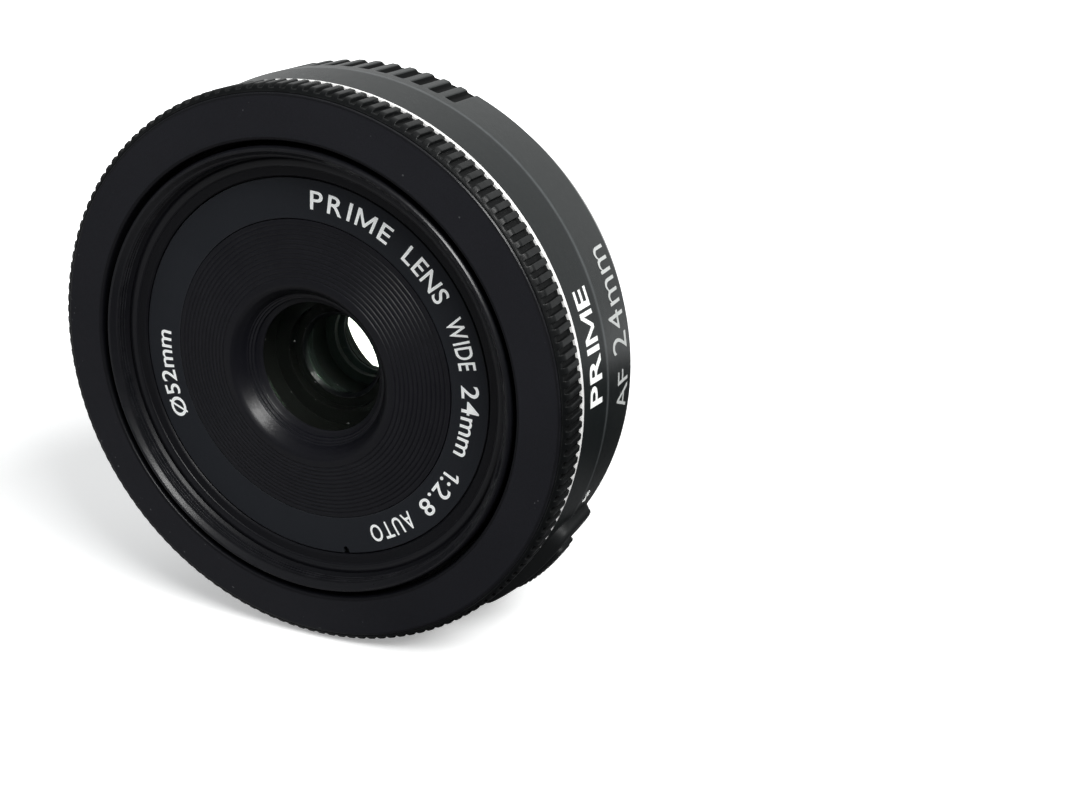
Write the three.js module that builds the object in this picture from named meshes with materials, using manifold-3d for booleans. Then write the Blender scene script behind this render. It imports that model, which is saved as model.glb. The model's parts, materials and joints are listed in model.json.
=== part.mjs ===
// Pancake prime lens, 24 mm f/2.8, autofocus, 52 mm filter thread, bayonet mount.
// Units are millimetres and degrees. Pieces are drawn in a lens frame: z is the height
// forward of the mounting flange plane along the optical axis, x points to the top of
// the lens. The lens is then laid into the part frame: optical axis along Y, front
// towards -Y, +Z up, standing on its rim, origin on the axis half way along the lens.
import * as THREE from "three";
import { mergeVertices } from "three/addons/utils/BufferGeometryUtils.js";
import Module from "manifold-3d";

const wasm = await Module();
wasm.setup();

// ---------- driving dimensions ----------
const TOP_ROLL = 8.4; // how far the lens top is turned up from +X
const FRONT_END = 22.8; // flange to front, lens retracted
const REAR_END = -7.4; // contact pin tips behind the flange
const BODY_R = 34.1; // greatest radius of the barrel
const FILTER_BARREL_R = 27.08;
const GLASS_R = 8.04; // visible front glass

const FOCUS_TRAVEL = 6.5;
const CAM_TURN = 75; // cam ring turn for the whole travel
const ROLLER_HEIGHT = 7.2; // lens retracted
const ROLLER_R = 1.0;
const ROLLER_ANGLES = [30, 150, 270];
const ROLLER_SLOT_WIDTH = 2 * ROLLER_R + 0.3;

const GEAR_MODULE = 0.5;
const CAM_TEETH = 110; // full circle count of the internal gear
const IDLER_TEETH = 24;
const PINION_TEETH = 12;
const IDLER_ANGLE = -35.6;
const IDLER_CENTRE_R = ((CAM_TEETH - IDLER_TEETH) * GEAR_MODULE) / 2;
const MOTOR_CENTRE_R = 18.2;

const BLADES = 7;
const BLADE_PIVOT_R = 8.3;
const BLADE_ARM = 2.2; // pivot to drive pin
const BLADE_ARM_ANGLE = -100; // arm direction from the pivot, at rest
const BLADE_TURN = 30;
const IRIS_TURN = 24;
const IRIS_MODULE = 0.3;
const IRIS_TEETH = 70; // full circle count
const IRIS_PINION_TEETH = 10;
const IRIS_MOTOR_ANGLE = 120;
const IRIS_MOTOR_CENTRE_R = ((IRIS_TEETH + IRIS_PINION_TEETH) * IRIS_MODULE) / 2;

const BODY_FACETS = 48; // large rings
const RING_FACETS = 36; // inner rings
const CELL_FACETS = 24; // lens cells

// ---------- shapes ----------
// Pairs are written [low, high]: radii [inner, outer], heights [back, front].
const DEG = Math.PI / 180;
const range = (count) => Array.from({ length: count }, (_, i) => i);
const polar = (radius, angle) =>
  new THREE.Vector2(radius * Math.cos(angle * DEG), radius * Math.sin(angle * DEG));
const turned = (point, angle) => point.clone().rotateAround(new THREE.Vector2(), angle * DEG);
const AXIS = polar(0, 0);

const moved = (geometry, point) => geometry.translate(point.x, point.y, 0);

// revolve (radius, height) points about the optical axis; a profile that touches
// the axis starts and ends on it, any other is closed into a ring
function lathe(profile, facets = BODY_FACETS) {
  const points = profile.map(([radius, height]) => new THREE.Vector2(radius, height));
  if (THREE.ShapeUtils.isClockWise(points)) points.reverse();
  if (points[0].x !== 0) points.push(points[0].clone());
  return new THREE.LatheGeometry(points, facets).rotateX(Math.PI / 2);
}

// ring of rectangular section
const ring = ([inner, outer], [back, front], facets) =>
  lathe([[inner, back], [outer, back], [outer, front], [inner, front]], facets);

function disc(radius, [back, front], facets, centre = AXIS) {
  const geometry = new THREE.CylinderGeometry(radius, radius, front - back, facets);
  geometry.rotateX(Math.PI / 2);
  geometry.translate(centre.x, centre.y, (back + front) / 2);
  return geometry;
}

// an outline raised between two heights; an outline with holes runs anticlockwise
function slab(points, [back, front], holes = []) {
  const shape = new THREE.Shape(points);
  shape.holes = holes.map((hole) => new THREE.Path(hole));
  const settings = { depth: front - back, bevelEnabled: false, curveSegments: 1 };
  return new THREE.ExtrudeGeometry(shape, settings).translate(0, 0, back);
}

const circle = (radius, sides, centre = AXIS) =>
  range(sides).map((i) => polar(radius, (360 * i) / sides).add(centre));

const arc = (radius, from, to, steps) =>
  range(steps + 1).map((i) => polar(radius, from + ((to - from) * i) / steps));

// arc-shaped block
const sector = ([inner, outer], [from, to], heights, steps) =>
  slab([...arc(outer, from, to, steps), ...arc(inner, to, from, steps)], heights);

// box of size [radial, tangential, axial] centred at a radius, height and angle
function radialBox(size, radius, height, angle) {
  const geometry = new THREE.BoxGeometry(...size);
  geometry.translate(radius, 0, height);
  return geometry.rotateZ(angle * DEG);
}

// turn a piece drawn along the optical axis to point outwards at roller height
function laidOutward(geometry, angle) {
  geometry.rotateY(Math.PI / 2);
  geometry.translate(0, 0, ROLLER_HEIGHT);
  return geometry.rotateZ(angle * DEG);
}

// convex outline round a set of [centre, radius] circles
function hull(circles) {
  const points = circles.flatMap(([centre, radius]) => circle(radius, 16, centre));
  points.sort((p, q) => p.x - q.x || p.y - q.y);
  const cross = (start, end, p) =>
    (end.x - start.x) * (p.y - start.y) - (end.y - start.y) * (p.x - start.x);
  const half = (list) => {
    const kept = [];
    for (const point of list) {
      while (kept.length > 1 && cross(kept.at(-2), kept.at(-1), point) <= 1e-6) kept.pop();
      kept.push(point);
    }
    kept.pop();
    return kept;
  };
  return [...half(points), ...half([...points].reverse())];
}

// ---------- solid operations ----------
function solid(geometry) {
  const bare = geometry.clone();
  bare.deleteAttribute("normal");
  bare.deleteAttribute("uv");
  const merged = mergeVertices(bare, 1e-4);
  return new wasm.Manifold(
    new wasm.Mesh({
      numProp: 3,
      vertProperties: new Float32Array(merged.attributes.position.array),
      triVerts: new Uint32Array(merged.index.array),
    }),
  );
}

function toGeometry(body) {
  const mesh = body.getMesh();
  const geometry = new THREE.BufferGeometry();
  const positions = new Float32Array(mesh.vertProperties);
  geometry.setAttribute("position", new THREE.BufferAttribute(positions, 3));
  geometry.setIndex(new THREE.BufferAttribute(new Uint32Array(mesh.triVerts), 1));
  geometry.computeVertexNormals();
  return geometry;
}

const join = (first, ...rest) =>
  toGeometry(rest.reduce((body, part) => body.add(solid(part)), solid(first)));
const cut = (first, ...rest) =>
  toGeometry(rest.reduce((body, part) => body.subtract(solid(part)), solid(first)));

// ---------- gear teeth ----------
const PRESSURE_ANGLE = 20;
const ADDENDUM = 0.8; // in modules
const DEDENDUM = 1.1; // in modules
const BACKLASH = 0.16; // share of the tooth thickness taken off
const involute = (angle) => Math.tan(angle) - angle;

// half of the angle a tooth fills at a radius
function toothHalf(radius, teeth, module, slack) {
  const pitchR = (teeth * module) / 2;
  const baseR = pitchR * Math.cos(PRESSURE_ANGLE * DEG);
  const flank = (r) => involute(Math.acos(Math.min(1, baseR / r)));
  const atPitch = ((1 - slack) * Math.PI) / (2 * teeth);
  return (atPitch + flank(pitchR) - flank(radius)) / DEG;
}

// four corners of an external tooth, or of a tooth space of an internal gear
function toothCorners(teeth, module, angle, internal = false) {
  const pitchR = (teeth * module) / 2;
  const lowR = pitchR - (internal ? ADDENDUM : DEDENDUM) * module;
  const highR = pitchR + (internal ? DEDENDUM : ADDENDUM) * module;
  const slack = internal ? -BACKLASH : BACKLASH;
  const low = toothHalf(lowR, teeth, module, slack);
  const high = toothHalf(highR, teeth, module, slack);
  return [
    polar(lowR, angle - low),
    polar(highR, angle - high),
    polar(highR, angle + high),
    polar(lowR, angle + low),
  ];
}

// outline of an external gear with one tooth centred on an angle
const gear = (teeth, module, angle, centre) =>
  range(teeth)
    .flatMap((i) => toothCorners(teeth, module, angle + (360 * i) / teeth))
    .map((point) => point.add(centre));

// ---------- materials ----------
const standard = (settings) => new THREE.MeshStandardMaterial(settings);
const material = {
  shell: standard({ color: 0x2f3130, roughness: 0.62, metalness: 0 }),
  ring: standard({ color: 0x1e1f21, roughness: 0.6, metalness: 0 }),
  face: standard({ color: 0x1b1b1e, roughness: 0.8, metalness: 0 }),
  silver: standard({ color: 0xd8dadb, roughness: 0.28, metalness: 0.9 }),
  mount: standard({ color: 0xb9bcc0, roughness: 0.3, metalness: 1 }),
  steel: standard({ color: 0x8d9196, roughness: 0.35, metalness: 1 }),
  gold: standard({ color: 0xcfa24a, roughness: 0.3, metalness: 1 }),
  rear: standard({ color: 0x161617, roughness: 0.7, metalness: 0 }),
  glass: standard({
    color: 0x31463c,
    roughness: 0.04,
    metalness: 0,
    transparent: true,
    opacity: 0.4,
  }),
  cell: standard({ color: 0x151516, roughness: 0.6, metalness: 0 }),
  blade: standard({ color: 0x232326, roughness: 0.5, metalness: 0.6 }),
  gear: standard({ color: 0xd9d6cc, roughness: 0.55, metalness: 0 }),
  board: standard({ color: 0x1d5a35, roughness: 0.55, metalness: 0 }),
  flex: standard({ color: 0xb06a22, roughness: 0.5, metalness: 0 }),
  brass: standard({ color: 0xb78b3b, roughness: 0.35, metalness: 0.9 }),
};

const lensFrame = new THREE.Group();
function piece(name, geometry, finish) {
  const mesh = new THREE.Mesh(geometry, finish);
  mesh.name = name;
  lensFrame.add(mesh);
}

// ---------- bayonet mount ----------
const FLANGE_R = 32.45;
const LUG_RADII = [25.0, 26.85];
const LUG_SPANS = [[15, 67], [138, 184], [256, 306]];
const SCREW_CENTRES = [45, 135, 225, 315].map((angle) => polar(29.6, angle));
const screwHoles = (radius, heights) =>
  SCREW_CENTRES.map((centre) => disc(radius, heights, 12, centre));

const FLANGE_PROFILE = [
  [24.2, -5.1], [25.35, -5.1], [25.35, 0.2], [26.95, 0.2], [27.0, 0],
  [32.2, 0], [FLANGE_R, 0.25], [FLANGE_R, 1.65], [24.2, 1.65],
];
piece(
  "mount_flange",
  cut(
    join(
      lathe(FLANGE_PROFILE),
      ...LUG_SPANS.map((span) => sector(LUG_RADII, span, [-5.0, -3.5], 7)),
    ),
    ...screwHoles(1.35, [-1, 0.8]), // head seats
    ...screwHoles(0.75, [-1, 3]), // shank holes
    sector([28.4, 31.0], [96, 100.4], [-1, 1.0], 1), // lock pin notch
  ),
  material.mount,
);

const SCREW_PROFILE = [[0, 0.08], [1.22, 0.08], [1.22, 0.7], [0.6, 0.78], [0.6, 3.05], [0, 3.05]];
SCREW_CENTRES.forEach((centre, i) =>
  piece(`mount_screw_${i + 1}`, moved(lathe(SCREW_PROFILE, 12), centre), material.steel),
);

// ---------- outer barrel ----------
const GRIP_PITCH = 3.82; // angle between the grip grooves
const GROOVE = { depth: 0.45, cutterDepth: 1.6, width: 1.15, length: 7.4, front: 9.5 };
const GROOVE_ANGLES = [
  ...range(17).map((i) => 57.55 + i * GRIP_PITCH),
  ...range(9).map((i) => -95 - i * GRIP_PITCH),
];
const gripGroove = (angle) =>
  radialBox(
    [GROOVE.cutterDepth, GROOVE.width, GROOVE.length],
    BODY_R - GROOVE.depth + GROOVE.cutterDepth / 2,
    GROOVE.front - GROOVE.length / 2,
    angle,
  );

const BARREL_PROFILE = [
  [12.6, 1.75], [31.95, 1.75], [BODY_R, 3.91], [BODY_R, 11.44], [33.3, 17.0],
  [33.1, 17.3], [32.35, 17.3], [32.35, 3.25], [12.6, 3.25],
];
piece(
  "main_barrel",
  cut(
    lathe(BARREL_PROFILE),
    ...GROOVE_ANGLES.map(gripGroove),
    ...screwHoles(0.72, [1, 4]),
    sector([31.5, 36], [-62.5, -41.5], [6.2, 12.4], 3), // window of the mode switch
  ),
  material.shell,
);
piece("silver_ring", ring([32.05, 33.6], [17.6, 18.15]), material.silver);

// ---------- focus mode switch ----------
const SWITCH_ANGLE = -51.7; // knob at rest
const aboutSwitch = (half) => [SWITCH_ANGLE - half, SWITCH_ANGLE + half];
piece(
  "switch_base",
  cut(
    join(
      sector([34.2, 35.3], [-65.9, -38.4], [5.4, 14.6], 5), // outer plate
      sector([32.7, 34.4], [-62, -42], [6.5, 12.1], 3), // block filling the window
    ),
    sector([34.7, 37], [-64.6, -43.8], [7.2, 12.8], 4), // knob recess
    sector([31, 37], [-58.3, -50.2], [8.5, 10.1], 2), // slot for the knob's stem
  ),
  material.ring,
);
piece(
  "switch_knob",
  join(
    sector([34.82, 36.0], aboutSwitch(7.2), [7.8, 12.2], 3),
    sector([32.95, 35.2], aboutSwitch(0.95), [8.8, 9.8], 1), // stem
  ),
  material.ring,
);

// ---------- focus ring ----------
const KNURL_TEETH = 73;
const KNURL_TIP_R = 33.75;
const KNURL_ROOT_R = 33.28;
const OPENING_R = 27.72; // hole in the front of the focus ring
const FOCUS_RING_PROFILE = [
  [32.2, 18.3], [33.1, 18.3], [33.1, 22.3], [32.74, 22.48], [27.95, FRONT_END],
  [OPENING_R, 22.6], [OPENING_R, 20.6], [28.6, 20.6], [28.6, 21.5], [32.2, 21.5],
];
const knurl = range(2 * KNURL_TEETH).map((i) =>
  polar(i % 2 ? KNURL_ROOT_R : KNURL_TIP_R, (i * 180) / KNURL_TEETH),
);
piece(
  "focus_ring",
  join(lathe(FOCUS_RING_PROFILE), slab(knurl, [18.35, 22.0], [circle(32.7, BODY_FACETS)])),
  material.ring,
);
piece("encoder_ring", ring([31.0, 31.4], [19.3, 21.4], RING_FACETS), material.steel);
piece("focus_ring_bearing", ring([28.9, 30.1], [18.4, 21.3], RING_FACETS), material.brass);
piece("focus_ring_sensor", radialBox([0.4, 4, 2.2], 30.55, 19.55, -20), material.board);

// ---------- fixed guide barrel, cam ring and its housing ----------
piece("cam_housing", ring([30.45, 31.75], [3.35, 17.0], RING_FACETS), material.cell);

const GUIDE_BARREL_PROFILE = [
  [27.45, 5.9], [28.5, 5.9], [28.5, 17.15], [31.8, 17.15], [31.8, 18.3], [27.45, 18.3],
];
piece(
  "guide_barrel",
  cut(
    lathe(GUIDE_BARREL_PROFILE, RING_FACETS),
    ...ROLLER_ANGLES.map((angle) => radialBox([3, ROLLER_SLOT_WIDTH, 10], 28, 10, angle)),
  ),
  material.cell,
);

// cutter of a helical cam slot: a long box bent round the axis
function helixCutter(rollerAngle) {
  const overrun = 3.3; // extra turn at each end
  const middleR = 29.5;
  const length = CAM_TURN + 2 * overrun;
  const geometry = new THREE.BoxGeometry(length, ROLLER_SLOT_WIDTH, 4, 10, 1, 1);
  const position = geometry.attributes.position;
  for (let i = 0; i < position.count; i++) {
    const turn = position.getX(i) + CAM_TURN / 2;
    const point = polar(middleR + position.getZ(i), rollerAngle - turn);
    const rise = (FOCUS_TRAVEL * turn) / CAM_TURN;
    position.setXYZ(i, point.x, point.y, ROLLER_HEIGHT + rise + position.getY(i));
  }
  // bending towards falling angles turns the box inside out, so flip every triangle
  const index = geometry.index.array;
  for (let i = 0; i < index.length; i += 3) {
    [index[i + 1], index[i + 2]] = [index[i + 2], index[i + 1]];
  }
  return geometry;
}

// arc of internal teeth at the back of the cam ring
function camGear() {
  const firstSpace = -28; // tooth spaces counted from the idler, at rest
  const lastSpace = 3;
  const pitch = 360 / CAM_TEETH;
  const tipR = (CAM_TEETH * GEAR_MODULE) / 2 - ADDENDUM * GEAR_MODULE;
  const from = IDLER_ANGLE + (firstSpace - 0.5) * pitch;
  const to = IDLER_ANGLE + (lastSpace + 0.5) * pitch;
  const spaces = range(lastSpace - firstSpace + 1).flatMap((i) =>
    toothCorners(CAM_TEETH, GEAR_MODULE, IDLER_ANGLE + (firstSpace + i) * pitch, true),
  );
  const outline = [
    ...arc(29.2, from, to, 14),
    polar(tipR, to),
    ...spaces.reverse(),
    polar(tipR, from),
  ];
  return slab(outline, [3.5, 5.2]);
}
piece(
  "cam_ring",
  cut(
    join(ring([28.8, 30.1], [3.5, 16.9], RING_FACETS), camGear()),
    ...ROLLER_ANGLES.map(helixCutter),
  ),
  material.brass,
);

// ---------- focus drive ----------
// the motor stands where its pinion meshes with the idler (law of cosines)
const centreDistance = ((IDLER_TEETH + PINION_TEETH) * GEAR_MODULE) / 2;
const motorCosine =
  (IDLER_CENTRE_R ** 2 + MOTOR_CENTRE_R ** 2 - centreDistance ** 2) /
  (2 * IDLER_CENTRE_R * MOTOR_CENTRE_R);
const motorAngle = IDLER_ANGLE - Math.acos(motorCosine) / DEG;
const idlerCentre = polar(IDLER_CENTRE_R, IDLER_ANGLE);
const motorCentre = polar(MOTOR_CENTRE_R, motorAngle);

// angle that puts the pinion's teeth into the idler's spaces
function pinionPhase() {
  const pitch = 360 / IDLER_TEETH;
  const line = motorCentre.clone().sub(idlerCentre);
  const lineAngle = Math.atan2(line.y, line.x) / DEG;
  // from the line of centres to the nearest idler tooth anticlockwise of it
  const offset = (((IDLER_ANGLE - lineAngle) % pitch) + pitch) % pitch;
  return lineAngle + 180 - (offset * IDLER_TEETH) / PINION_TEETH + 180 / PINION_TEETH;
}

piece(
  "idler_gear",
  slab(
    gear(IDLER_TEETH, GEAR_MODULE, IDLER_ANGLE, idlerCentre),
    [3.6, 5.0],
    [circle(0.72, 12, idlerCentre)],
  ),
  material.gear,
);
piece(
  "motor_pinion",
  join(
    slab(gear(PINION_TEETH, GEAR_MODULE, pinionPhase(), motorCentre), [3.6, 5.1]),
    disc(0.5, [5.0, 7.8], 12, motorCentre),
  ),
  material.brass,
);
piece("idler_axle", disc(0.6, [3.32, 6.3], 12, idlerCentre), material.steel);

const BRACKET_POSTS = [polar(18.5, motorAngle - 17), polar(14.3, motorAngle + 12)];
const bracketOutline = hull([
  [motorCentre, 3.8],
  [idlerCentre, 1.9],
  ...BRACKET_POSTS.map((post) => [post, 1.4]),
]);
piece(
  "motor_bracket",
  cut(
    join(
      slab(bracketOutline, [5.4, 6.1]),
      ...BRACKET_POSTS.map((post) => disc(0.9, [3.32, 5.6], 12, post)),
    ),
    disc(0.8, [5, 7], 12, motorCentre),
    disc(0.7, [5, 7], 12, idlerCentre),
  ),
  material.steel,
);

const MOTOR_PROFILE = [
  [0, 8.2], [0.75, 8.2], [0.75, 6.16], [3.6, 6.16],
  [3.6, 14.6], [1.4, 14.6], [1.4, 15.4], [0, 15.4],
];
piece("focus_motor", moved(lathe(MOTOR_PROFILE, 24), motorCentre), material.steel);

// ---------- circuit board, contacts and rear shroud ----------
piece("circuit_board", sector([13.4, 22.6], [-156, 156], [0.35, 1.2], 26), material.board);

const SHROUD_PROFILE = [
  [12.4, -6.35], [23.95, -6.35], [23.95, 1.6], [22.9, 1.6],
  [22.9, -5.5], [13.1, -5.5], [13.1, -2.0], [12.4, -2.0],
];
piece("rear_shroud", lathe(SHROUD_PROFILE, RING_FACETS), material.rear);

const PIN_PITCH = 8.4; // angle between contact pins
const PIN_CENTRES = range(7).map((i) => polar(21.4, 180 + (i - 3) * PIN_PITCH));
piece(
  "contact_block",
  cut(
    sector([19.4, 23.3], [146, 214], [-7.2, -6.4], 10),
    ...PIN_CENTRES.map((centre) => disc(0.68, [-8, -6], 10, centre)),
  ),
  material.rear,
);
PIN_CENTRES.forEach((centre, i) =>
  piece(`contact_pin_${i + 1}`, disc(0.56, [REAR_END, -6.45], 10, centre), material.gold),
);

// flat cable folded into a C, drawn as (x, height) and 8 wide
const FLEX_THICKNESS = 0.15;
const FLEX_SECTION = [
  [-19.2, -5.4],
  [-22.3, -5.4],
  [-22.3, 1.5],
  [-16, 1.5],
  [-16, 1.5 - FLEX_THICKNESS],
  [-22.3 + FLEX_THICKNESS, 1.5 - FLEX_THICKNESS],
  [-22.3 + FLEX_THICKNESS, -5.4 + FLEX_THICKNESS],
  [-19.2, -5.4 + FLEX_THICKNESS],
].map(([x, height]) => new THREE.Vector2(x, height));
piece("flex_cable", slab(FLEX_SECTION, [-4, 4]).rotateX(Math.PI / 2), material.flex);

// ---------- focusing unit: filter barrel and front ----------
const FILTER_BARREL_PROFILE = [
  [25.4, 6.0], [FILTER_BARREL_R, 6.0], [FILTER_BARREL_R, 22.55],
  [26.85, FRONT_END], [26.1, FRONT_END], [25.79, 22.5], [25.79, 20.7], [25.18, 20.39],
  [23.3, 19.95], [23.2, 19.2], [11.9, 19.2], [11.9, 18.0], [25.4, 18.0],
];
piece(
  "filter_barrel",
  cut(
    lathe(FILTER_BARREL_PROFILE, RING_FACETS),
    ...ROLLER_ANGLES.map((angle) => laidOutward(disc(0.72, [24.5, 28.5], 12), angle)),
  ),
  material.face,
);

// thin pin in the filter barrel, thick roller outside it;
// columns: radius of the pin, distance from the optical axis
const ROLLER_PROFILE = [
  [0, 25.6], [0.6, 25.6], [0.6, 27.25], [ROLLER_R, 27.25], [ROLLER_R, 29.95], [0, 29.95],
];
ROLLER_ANGLES.forEach((angle, i) =>
  piece(`guide_roller_${i + 1}`, laidOutward(lathe(ROLLER_PROFILE, 14), angle), material.steel),
);
piece("name_ring", ring([18.42, 23.06], [19.25, 19.81], RING_FACETS), material.face);

const BAFFLE_PROFILE = [
  [GLASS_R, 17.5], [10.4, 17.62], [10.9, 18.9], [11.7, 19.27], [18.33, 19.27],
  [18.33, 19.86], [10.87, 20.66], [10.35, 20.45], [9.8, 19.75], [9.4, 18.9],
  [8.8, 18.45], [8.5, 17.95], [GLASS_R, 17.66],
];
piece("front_baffle", lathe(BAFFLE_PROFILE, 28), material.face);

// ---------- optics ----------
// name, front face, rear face, arc steps per face;
// a face is [height on the axis, height at its edge, edge radius]
const ELEMENTS = [
  ["lens_1_front_meniscus", [18.06, 17.42, 8.45], [16.94, 14.1, 6.8], 3],
  ["lens_2_positive", [13.3, 11.65, 6.6], [9.5, 10.05, 6.6], 2],
  ["lens_3_negative", [1.5, 2.4, 8.0], [0.8, -0.9, 8.65], 2],
  ["lens_4_positive", [0.75, -0.95, 8.65], [-2.1, -1.3, 8.65], 2],
  ["lens_5_aspheric", [-2.45, -1.98, 9.5], [-3.2, -2.75, 9.5], 2],
  ["lens_6_rear_positive", [-3.4, -3.8, 10.75], [-5.5, -4.9, 10.75], 2],
];

// (radius, height) points of a spherical face, from the axis to its edge
function faceArc([vertex, edge, edgeR], steps) {
  const sag = edge - vertex;
  const sphereR = (edgeR ** 2 + sag ** 2) / (2 * sag); // signed like the sag
  return range(steps + 1).map((i) => {
    const radius = (edgeR * i) / steps;
    const drop = Math.sign(sphereR) * Math.sqrt(sphereR ** 2 - radius ** 2);
    return [radius, vertex + (sphereR - drop)];
  });
}

// the smaller face has a flat rim out to the radius of the larger one
function element(front, rear, steps) {
  const [, frontEdge, frontR] = front;
  const [, rearEdge, rearR] = rear;
  const profile = faceArc(front, steps);
  if (frontR < rearR) profile.push([rearR, frontEdge]);
  if (rearR < frontR) profile.push([frontR, rearEdge]);
  profile.push(...faceArc(rear, steps).reverse());
  return lathe(profile, 18);
}
for (const [name, front, rear, steps] of ELEMENTS) {
  piece(name, element(front, rear, steps), material.glass);
}

const FRONT_CELL_PROFILE = [
  [8.6, 13.9], [8.6, 17.35], [10.3, 17.35], [10.95, 17.9], [15, 17.9], [15, 16.7],
  [9.2, 16.7], [9.2, 6.2], [6.2, 6.2], [6.2, 9.4], [6.7, 9.4], [6.7, 13.9],
];
piece("front_lens_cell", lathe(FRONT_CELL_PROFILE, CELL_FACETS), material.cell);

const REAR_CELL_PROFILE = [
  [8.8, 2.6], [11.9, 2.6], [11.9, -5.9], [10.9, -5.9], [10.9, -3.3],
  [9.6, -3.3], [9.6, -1.85], [8.3, -1.85], [8.3, -1.45], [8.8, -1.45],
];
piece("rear_lens_cell", lathe(REAR_CELL_PROFILE, CELL_FACETS), material.cell);
piece("rear_retaining_ring", ring([10.4, 10.8], [-5.55, -5.05], CELL_FACETS), material.cell);

// ---------- diaphragm housing ----------
const IRIS_HOUSING_R = 11.6;
const bladeAngle = (i) => (i * 360) / BLADES;
const bladePivot = (i) => polar(BLADE_PIVOT_R, bladeAngle(i));
const irisMotorCentre = polar(IRIS_MOTOR_CENTRE_R, IRIS_MOTOR_ANGLE);
const irisPlate = (heights) =>
  slab(circle(IRIS_HOUSING_R, CELL_FACETS), heights, [circle(5.0, 28)]);

piece(
  "iris_base",
  cut(
    join(irisPlate([2.75, 3.45]), ring([11.0, IRIS_HOUSING_R], [3.3, 5.3], CELL_FACETS)),
    ...range(BLADES).map((i) => disc(0.45, [2, 4], 10, bladePivot(i))),
    disc(2.3, [3.9, 6], 16, irisMotorCentre), // gap in the wall for the pinion
  ),
  material.cell,
);
piece(
  "iris_cover",
  cut(
    join(irisPlate([5.4, 6.1]), disc(2.75, [5.4, 6.1], 20, irisMotorCentre)),
    disc(0.6, [5, 7], 10, irisMotorCentre),
  ),
  material.cell,
);

// ---------- iris ring ----------
// drive pin of the first blade after the blade has turned
const drivePin = (turn) =>
  polar(BLADE_ARM, BLADE_ARM_ANGLE + turn).add(new THREE.Vector2(BLADE_PIVOT_R, 0));

// curved, round-ended slot: the drive pin's path seen from the turning ring
function irisSlot(blade) {
  const steps = 5;
  const halfWidth = 0.43;
  const path = range(steps + 1).map((i) => {
    const share = i / steps;
    return turned(drivePin(BLADE_TURN * share), bladeAngle(blade) - IRIS_TURN * share);
  });
  const directions = path.map((_, i) => {
    const before = path[Math.max(0, i - 1)];
    const after = path[Math.min(steps, i + 1)];
    return after.clone().sub(before).normalize();
  });
  // edge point beside path point i, at an angle from the direction of travel
  const edge = (i, angle) =>
    turned(directions[i], angle).multiplyScalar(halfWidth).add(path[i]);
  return [
    ...path.map((_, i) => edge(i, 90)),
    ...[60, 0, -60].map((angle) => edge(steps, angle)),
    ...path.map((_, i) => edge(i, -90)).reverse(),
    ...[240, 180, 120].map((angle) => edge(0, angle)),
  ];
}

function irisRing() {
  const firstTooth = -7; // teeth counted from the pinion, at rest
  const lastTooth = 2;
  const pitch = 360 / IRIS_TEETH;
  const rootR = (IRIS_TEETH * IRIS_MODULE) / 2 - DEDENDUM * IRIS_MODULE;
  const teeth = range(lastTooth - firstTooth + 1).flatMap((i) =>
    toothCorners(IRIS_TEETH, IRIS_MODULE, IRIS_MOTOR_ANGLE + (firstTooth + i) * pitch),
  );
  const from = IRIS_MOTOR_ANGLE + (lastTooth + 0.6) * pitch;
  const to = IRIS_MOTOR_ANGLE + (firstTooth - 0.6) * pitch + 360;
  const holes = [circle(7.2, 20), ...range(BLADES).map(irisSlot)];
  return slab([...teeth, ...arc(rootR, from, to, 28)], [4.55, 5.2], holes);
}
piece("iris_ring", irisRing(), material.blade);

// ---------- iris blades ----------
// outer edge and pivot end of a blade: radius, angle from the blade's pivot;
// the edge bulges between the pins of the neighbouring blades
const BLADE_EDGE = [
  [6.4, 121], [7.6, 116.5], [7.72, 110], [7.72, 101], [7.72, 95], [7.72, 88], [8.2, 78],
  [8.45, 69.5], [8.2, 61], [7.72, 56], [7.75, 48], [8.1, 45.3], [8.15, 43], [8.0, 40.5],
  [7.72, 38.5], [7.72, 26], [7.72, 16], [8.0, 8], [8.95, 5], [9.15, -1], [8.85, -9],
  [8.72, -16.5], [8.25, -20], [7.65, -18.5], [7.2, -10],
];
const BLADE_THICKNESS = 0.08;
const BLADE_PITCH = 0.12; // height from one blade to the next
for (const i of range(BLADES)) {
  const angle = bladeAngle(i);
  const back = 3.58 + BLADE_PITCH * i;
  const middle = back + BLADE_THICKNESS / 2;
  const outline = [
    ...arc(4.85, angle - 6, angle + 118, 8),
    ...BLADE_EDGE.map(([radius, edgeAngle]) => polar(radius, angle + edgeAngle)),
  ];
  piece(
    `iris_blade_${i + 1}`,
    join(
      slab(outline, [back, back + BLADE_THICKNESS]),
      disc(0.35, [2.85, middle], 8, bladePivot(i)),
      disc(0.3, [middle, 5.15], 8, turned(drivePin(0), angle)),
    ),
    material.blade,
  );
}

// ---------- iris drive ----------
// a tooth space of the pinion faces the iris ring
const irisPinionPhase = IRIS_MOTOR_ANGLE + 180 + 180 / IRIS_PINION_TEETH;
piece(
  "iris_pinion",
  join(
    slab(gear(IRIS_PINION_TEETH, IRIS_MODULE, irisPinionPhase, irisMotorCentre), [4.5, 5.25]),
    disc(0.4, [5.1, 7.4], 10, irisMotorCentre),
  ),
  material.brass,
);

const IRIS_MOTOR_PROFILE = [
  [0, 7.9], [0.6, 7.9], [0.6, 6.18], [2.4, 6.18], [2.4, 11.2], [0, 11.2],
];
piece("iris_motor", moved(lathe(IRIS_MOTOR_PROFILE, 20), irisMotorCentre), material.steel);

// ---------- lay the lens into the part frame ----------
const top = polar(1, TOP_ROLL);
const basis = new THREE.Matrix4().makeBasis(
  new THREE.Vector3(top.x, 0, top.y),
  new THREE.Vector3(-top.y, 0, top.x),
  new THREE.Vector3(0, -1, 0),
);
lensFrame.quaternion.setFromRotationMatrix(basis);
lensFrame.position.set(0, (FRONT_END + REAR_END) / 2, 0);

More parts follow.
